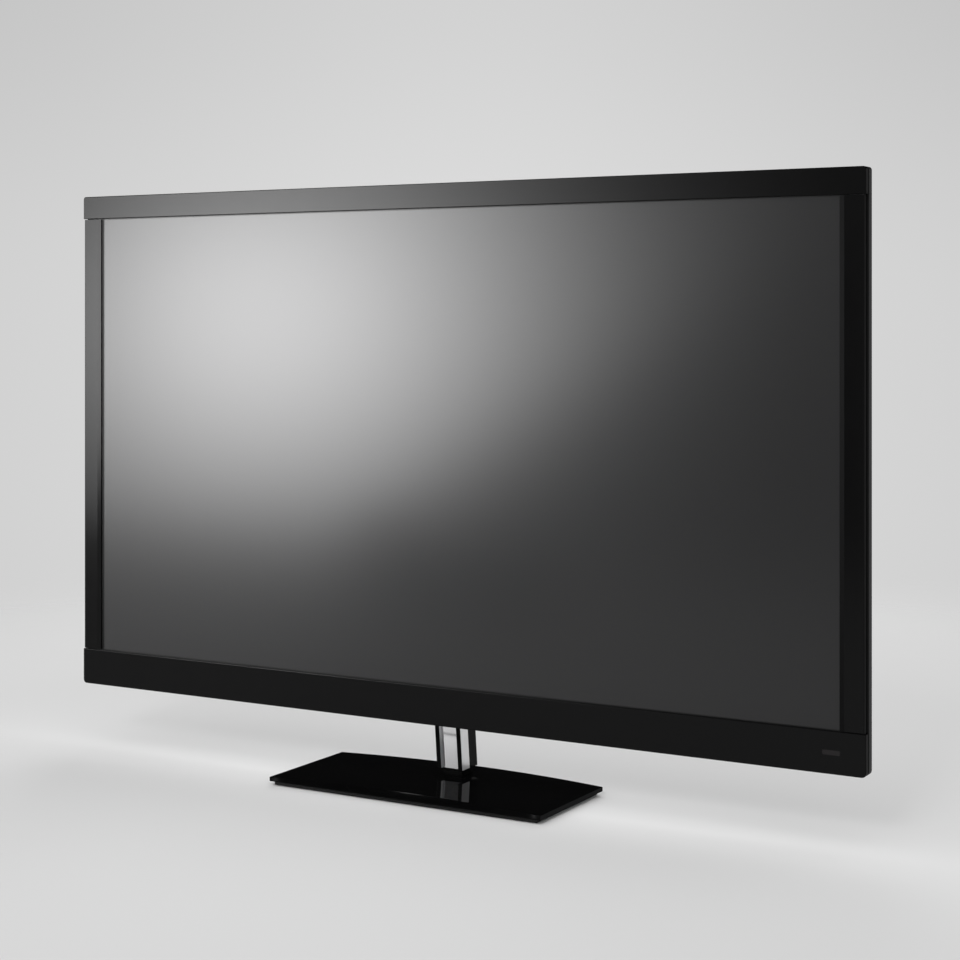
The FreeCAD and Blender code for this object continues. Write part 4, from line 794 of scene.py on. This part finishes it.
class TV_OT_studio(bpy.types.Operator):
    """Sets up the pale floor, the background, the soft lights and the camera"""

    bl_idname = "television.studio"
    bl_label = "Set Up Studio"

    def floor(self, look):
        """A pale floor whose colour darkens a little outwards as painted shade, and which then fades
        into the background.
        """
        reach = 3.3
        bright_to, even_to, fade_to = 0.15, 1.1, 2.6
        material, sheet = new_finish("studio_floor")
        x, y, _ = sheet.axes(sheet.place())
        away = (x * x + y * y).root()
        # Painted shade: the floor's colour darkens outwards, standing in for the light that falls off
        # away from the object.
        painted_falloff_colour = [part * look.painted_falloff_tone for part in look.floor_colour]
        paint = sheet.node("ShaderNodeBsdfDiffuse", None, {"Color": sheet.blend(
            away.step(bright_to, even_to), (*look.floor_colour, 1.0), (*painted_falloff_colour, 1.0))})
        clear = sheet.node("ShaderNodeBsdfTransparent")
        sheet.surface(sheet.mix(away.step(even_to, fade_to), paint.outputs[0], clear.outputs[0]))
        corners = [(-reach, -reach, 0), (reach, -reach, 0), (reach, reach, 0), (-reach, reach, 0)]
        flat_piece("studio_floor", corners, material)

    def background(self, context, look):
        """A pale surround up to about ten degrees above the horizon, dark higher up."""
        outer_fall = 0.09
        ground_fall = 0.03
        dark_tone = 0.004
        front_dimming = 0.3
        world = bpy.data.worlds.new("studio")
        world.use_nodes = True
        context.scene.world = world
        sheet = Sheet(world.node_tree)
        x, y, z = sheet.axes(sheet.node("ShaderNodeTexCoord").outputs["Generated"])
        across = x * math.cos(CAMERA_TURN) + y * math.sin(CAMERA_TURN)
        upwards = z.step(0.0, 0.2) * outer_fall
        downwards = (z * -1).step(0.05, 0.35) * ground_fall
        sideways = abs(across).step(0.0, 0.3) * outer_fall
        pale = look.haze - (upwards + downwards) - sideways
        dark = z.step(0.166, 0.205)
        path = sheet.node("ShaderNodeLightPath").outputs
        glossy = Value(sheet, path["Is Glossy Ray"])
        mirrored = glossy * (y * -1).step(0.2, 0.7)
        shown = (pale * (1 - dark) + dark * dark_tone) * (1 - mirrored * front_dimming)
        seen = Value(sheet, path["Is Camera Ray"]) + glossy
        seen = (seen + Value(sheet, path["Is Transmission Ray"])).smaller(1.0)
        glow = sheet.node("ShaderNodeBackground", None, {
            "Color": WHITE, "Strength": shown * seen + (1 - seen) * look.dome})
        sheet.node("ShaderNodeOutputWorld", None, {"Surface": glow.outputs[0]})

    def unseen_card(self, name, material, x_range, y, z_range):
        """An upright card that neither the camera nor a matt surface sees."""
        left, right = x_range
        low, high = z_range
        card = flat_piece(name, [(left, y, high), (right, y, high), (right, y, low),
                                 (left, y, low)], material)
        card.visible_camera = False
        card.visible_diffuse = False
        return card

    def side_card(self, look):
        """A large soft light at the front left, brightest at its middle, with a slanting end."""
        middle_x, middle_z = -2.17, 0.7
        wide, tall = 0.85, 0.62
        end_x, end_z = -1.4, 0.3
        slant = 2.083
        softness = 0.07
        material, sheet = new_finish("side_card")
        x, _, z = sheet.axes(sheet.place())
        a = (x - middle_x) / wide
        b = (z - middle_z) / tall
        inside = (x - end_x) * math.cos(slant) + (z - end_z) * math.sin(slant)
        glow = ((a * a + b * b) * -1).exp() * inside.step(-softness, softness)
        light = sheet.node("ShaderNodeEmission", None, {"Color": WHITE,
                                                        "Strength": glow * look.side_light})
        sheet.surface(light.outputs[0])
        self.unseen_card("side_card", material, x_range=(-4.4, -0.2), y=-2.6,
                                  z_range=(0.02, 2.1))

    def flag(self):
        """A black flag that keeps the side light out of the core's image in the base."""
        material, sheet = new_finish("black_flag")
        sheet.surface(sheet.node("ShaderNodeBsdfDiffuse", None, {"Color": BLACK}).outputs[0])
        flag = self.unseen_card("black_flag", material, x_range=(-0.92, -0.42), y=-1.2,
                                z_range=(0.06, 0.28))
        flag.visible_shadow = False

    def soft_light(self, name, place, aim, width, height, power, spread=180.0, mirrored=True):
        """A rectangular lamp that looks at its aim and that the camera doesn't see."""
        lamp = bpy.data.lights.new(name, "AREA")
        lamp.shape = "RECTANGLE"
        lamp.size = width
        lamp.size_y = height
        lamp.energy = power
        lamp.spread = math.radians(spread)
        holder = bpy.data.objects.new(name, lamp)
        holder.location = place
        holder.rotation_euler = (Vector(aim) - Vector(place)).to_track_quat("-Z", "Y").to_euler()
        holder.visible_camera = False
        holder.visible_glossy = mirrored
        bpy.context.scene.collection.objects.link(holder)

    def camera(self, context, look):
        """A level camera at the photograph's place, shifted so that the horizon is high up."""
        lens = bpy.data.cameras.new("photo_camera")
        lens.sensor_width = SENSOR_WIDTH
        lens.lens = look.lens_pixels / IMAGE_SIDE * SENSOR_WIDTH
        lens.shift_y = (HORIZON_ROW - IMAGE_SIDE / 2) / IMAGE_SIDE
        lens.clip_end = 100.0
        camera = bpy.data.objects.new("photo_camera", lens)
        camera.location = CAMERA_PLACE
        camera.rotation_euler = (math.radians(90), 0.0, CAMERA_TURN)
        context.scene.collection.objects.link(camera)
        context.scene.camera = camera

    def execute(self, context):
        look = context.scene.television_studio
        self.floor(look)
        self.background(context, look)
        self.side_card(look)
        self.flag()
        self.soft_light("top_light", place=(0.1, -0.8, 3.0), aim=(0.0, -0.6, 0.0),
                        width=2.4, height=2.4, power=look.top_light)
        self.soft_light("front_light", place=(0.6, -4.5, 2.8), aim=(0.0, -0.25, 0.0),
                        width=1.6, height=1.0, power=look.front_light, spread=55.0,
                        mirrored=False)
        self.soft_light("back_light", place=(-1.2, 2.6, 1.9), aim=(0.0, 0.0, 0.5),
                        width=1.8, height=1.2, power=look.back_light)
        self.camera(context, look)
        context.scene.view_settings.view_transform = "Standard"
        return {"FINISHED"}


class TV_PT_television(bpy.types.Panel):
    """Lists the settings and the steps in the 3D view's sidebar."""

    bl_idname = "TV_PT_television"
    bl_label = "Television"
    bl_space_type = "VIEW_3D"
    bl_region_type = "UI"
    bl_category = "Television"

    def draw(self, context):
        for group in SETTINGS:
            look = getattr(context.scene, group)
            box = self.layout.box()
            for name in look.__annotations__:
                box.prop(look, name)
        for step in STEPS:
            self.layout.operator(step.bl_idname)


# Registration and the run

SETTINGS = {"television_frame": FrameSettings, "television_screen": ScreenSettings,
            "television_cover": CoverSettings, "television_stand": StandSettings,
            "television_studio": StudioSettings}
STEPS = (TV_OT_front_frame, TV_OT_screen, TV_OT_rear_cover, TV_OT_cover_screws,
         TV_OT_socket_contacts, TV_OT_inside, TV_OT_neck, TV_OT_base, TV_OT_studio)


def register():
    for kind in (*SETTINGS.values(), *STEPS, TV_PT_television):
        bpy.utils.register_class(kind)
    for name, kind in SETTINGS.items():
        setattr(bpy.types.Scene, name, bpy.props.PointerProperty(type=kind))


def unregister():
    for name in SETTINGS:
        delattr(bpy.types.Scene, name)
    for kind in (TV_PT_television, *reversed(STEPS), *SETTINGS.values()):
        bpy.utils.unregister_class(kind)


def main():
    register()
    for step in STEPS:
        group, name = step.bl_idname.split(".")
        getattr(getattr(bpy.ops, group), name)()


if __name__ == "__main__":
    main()
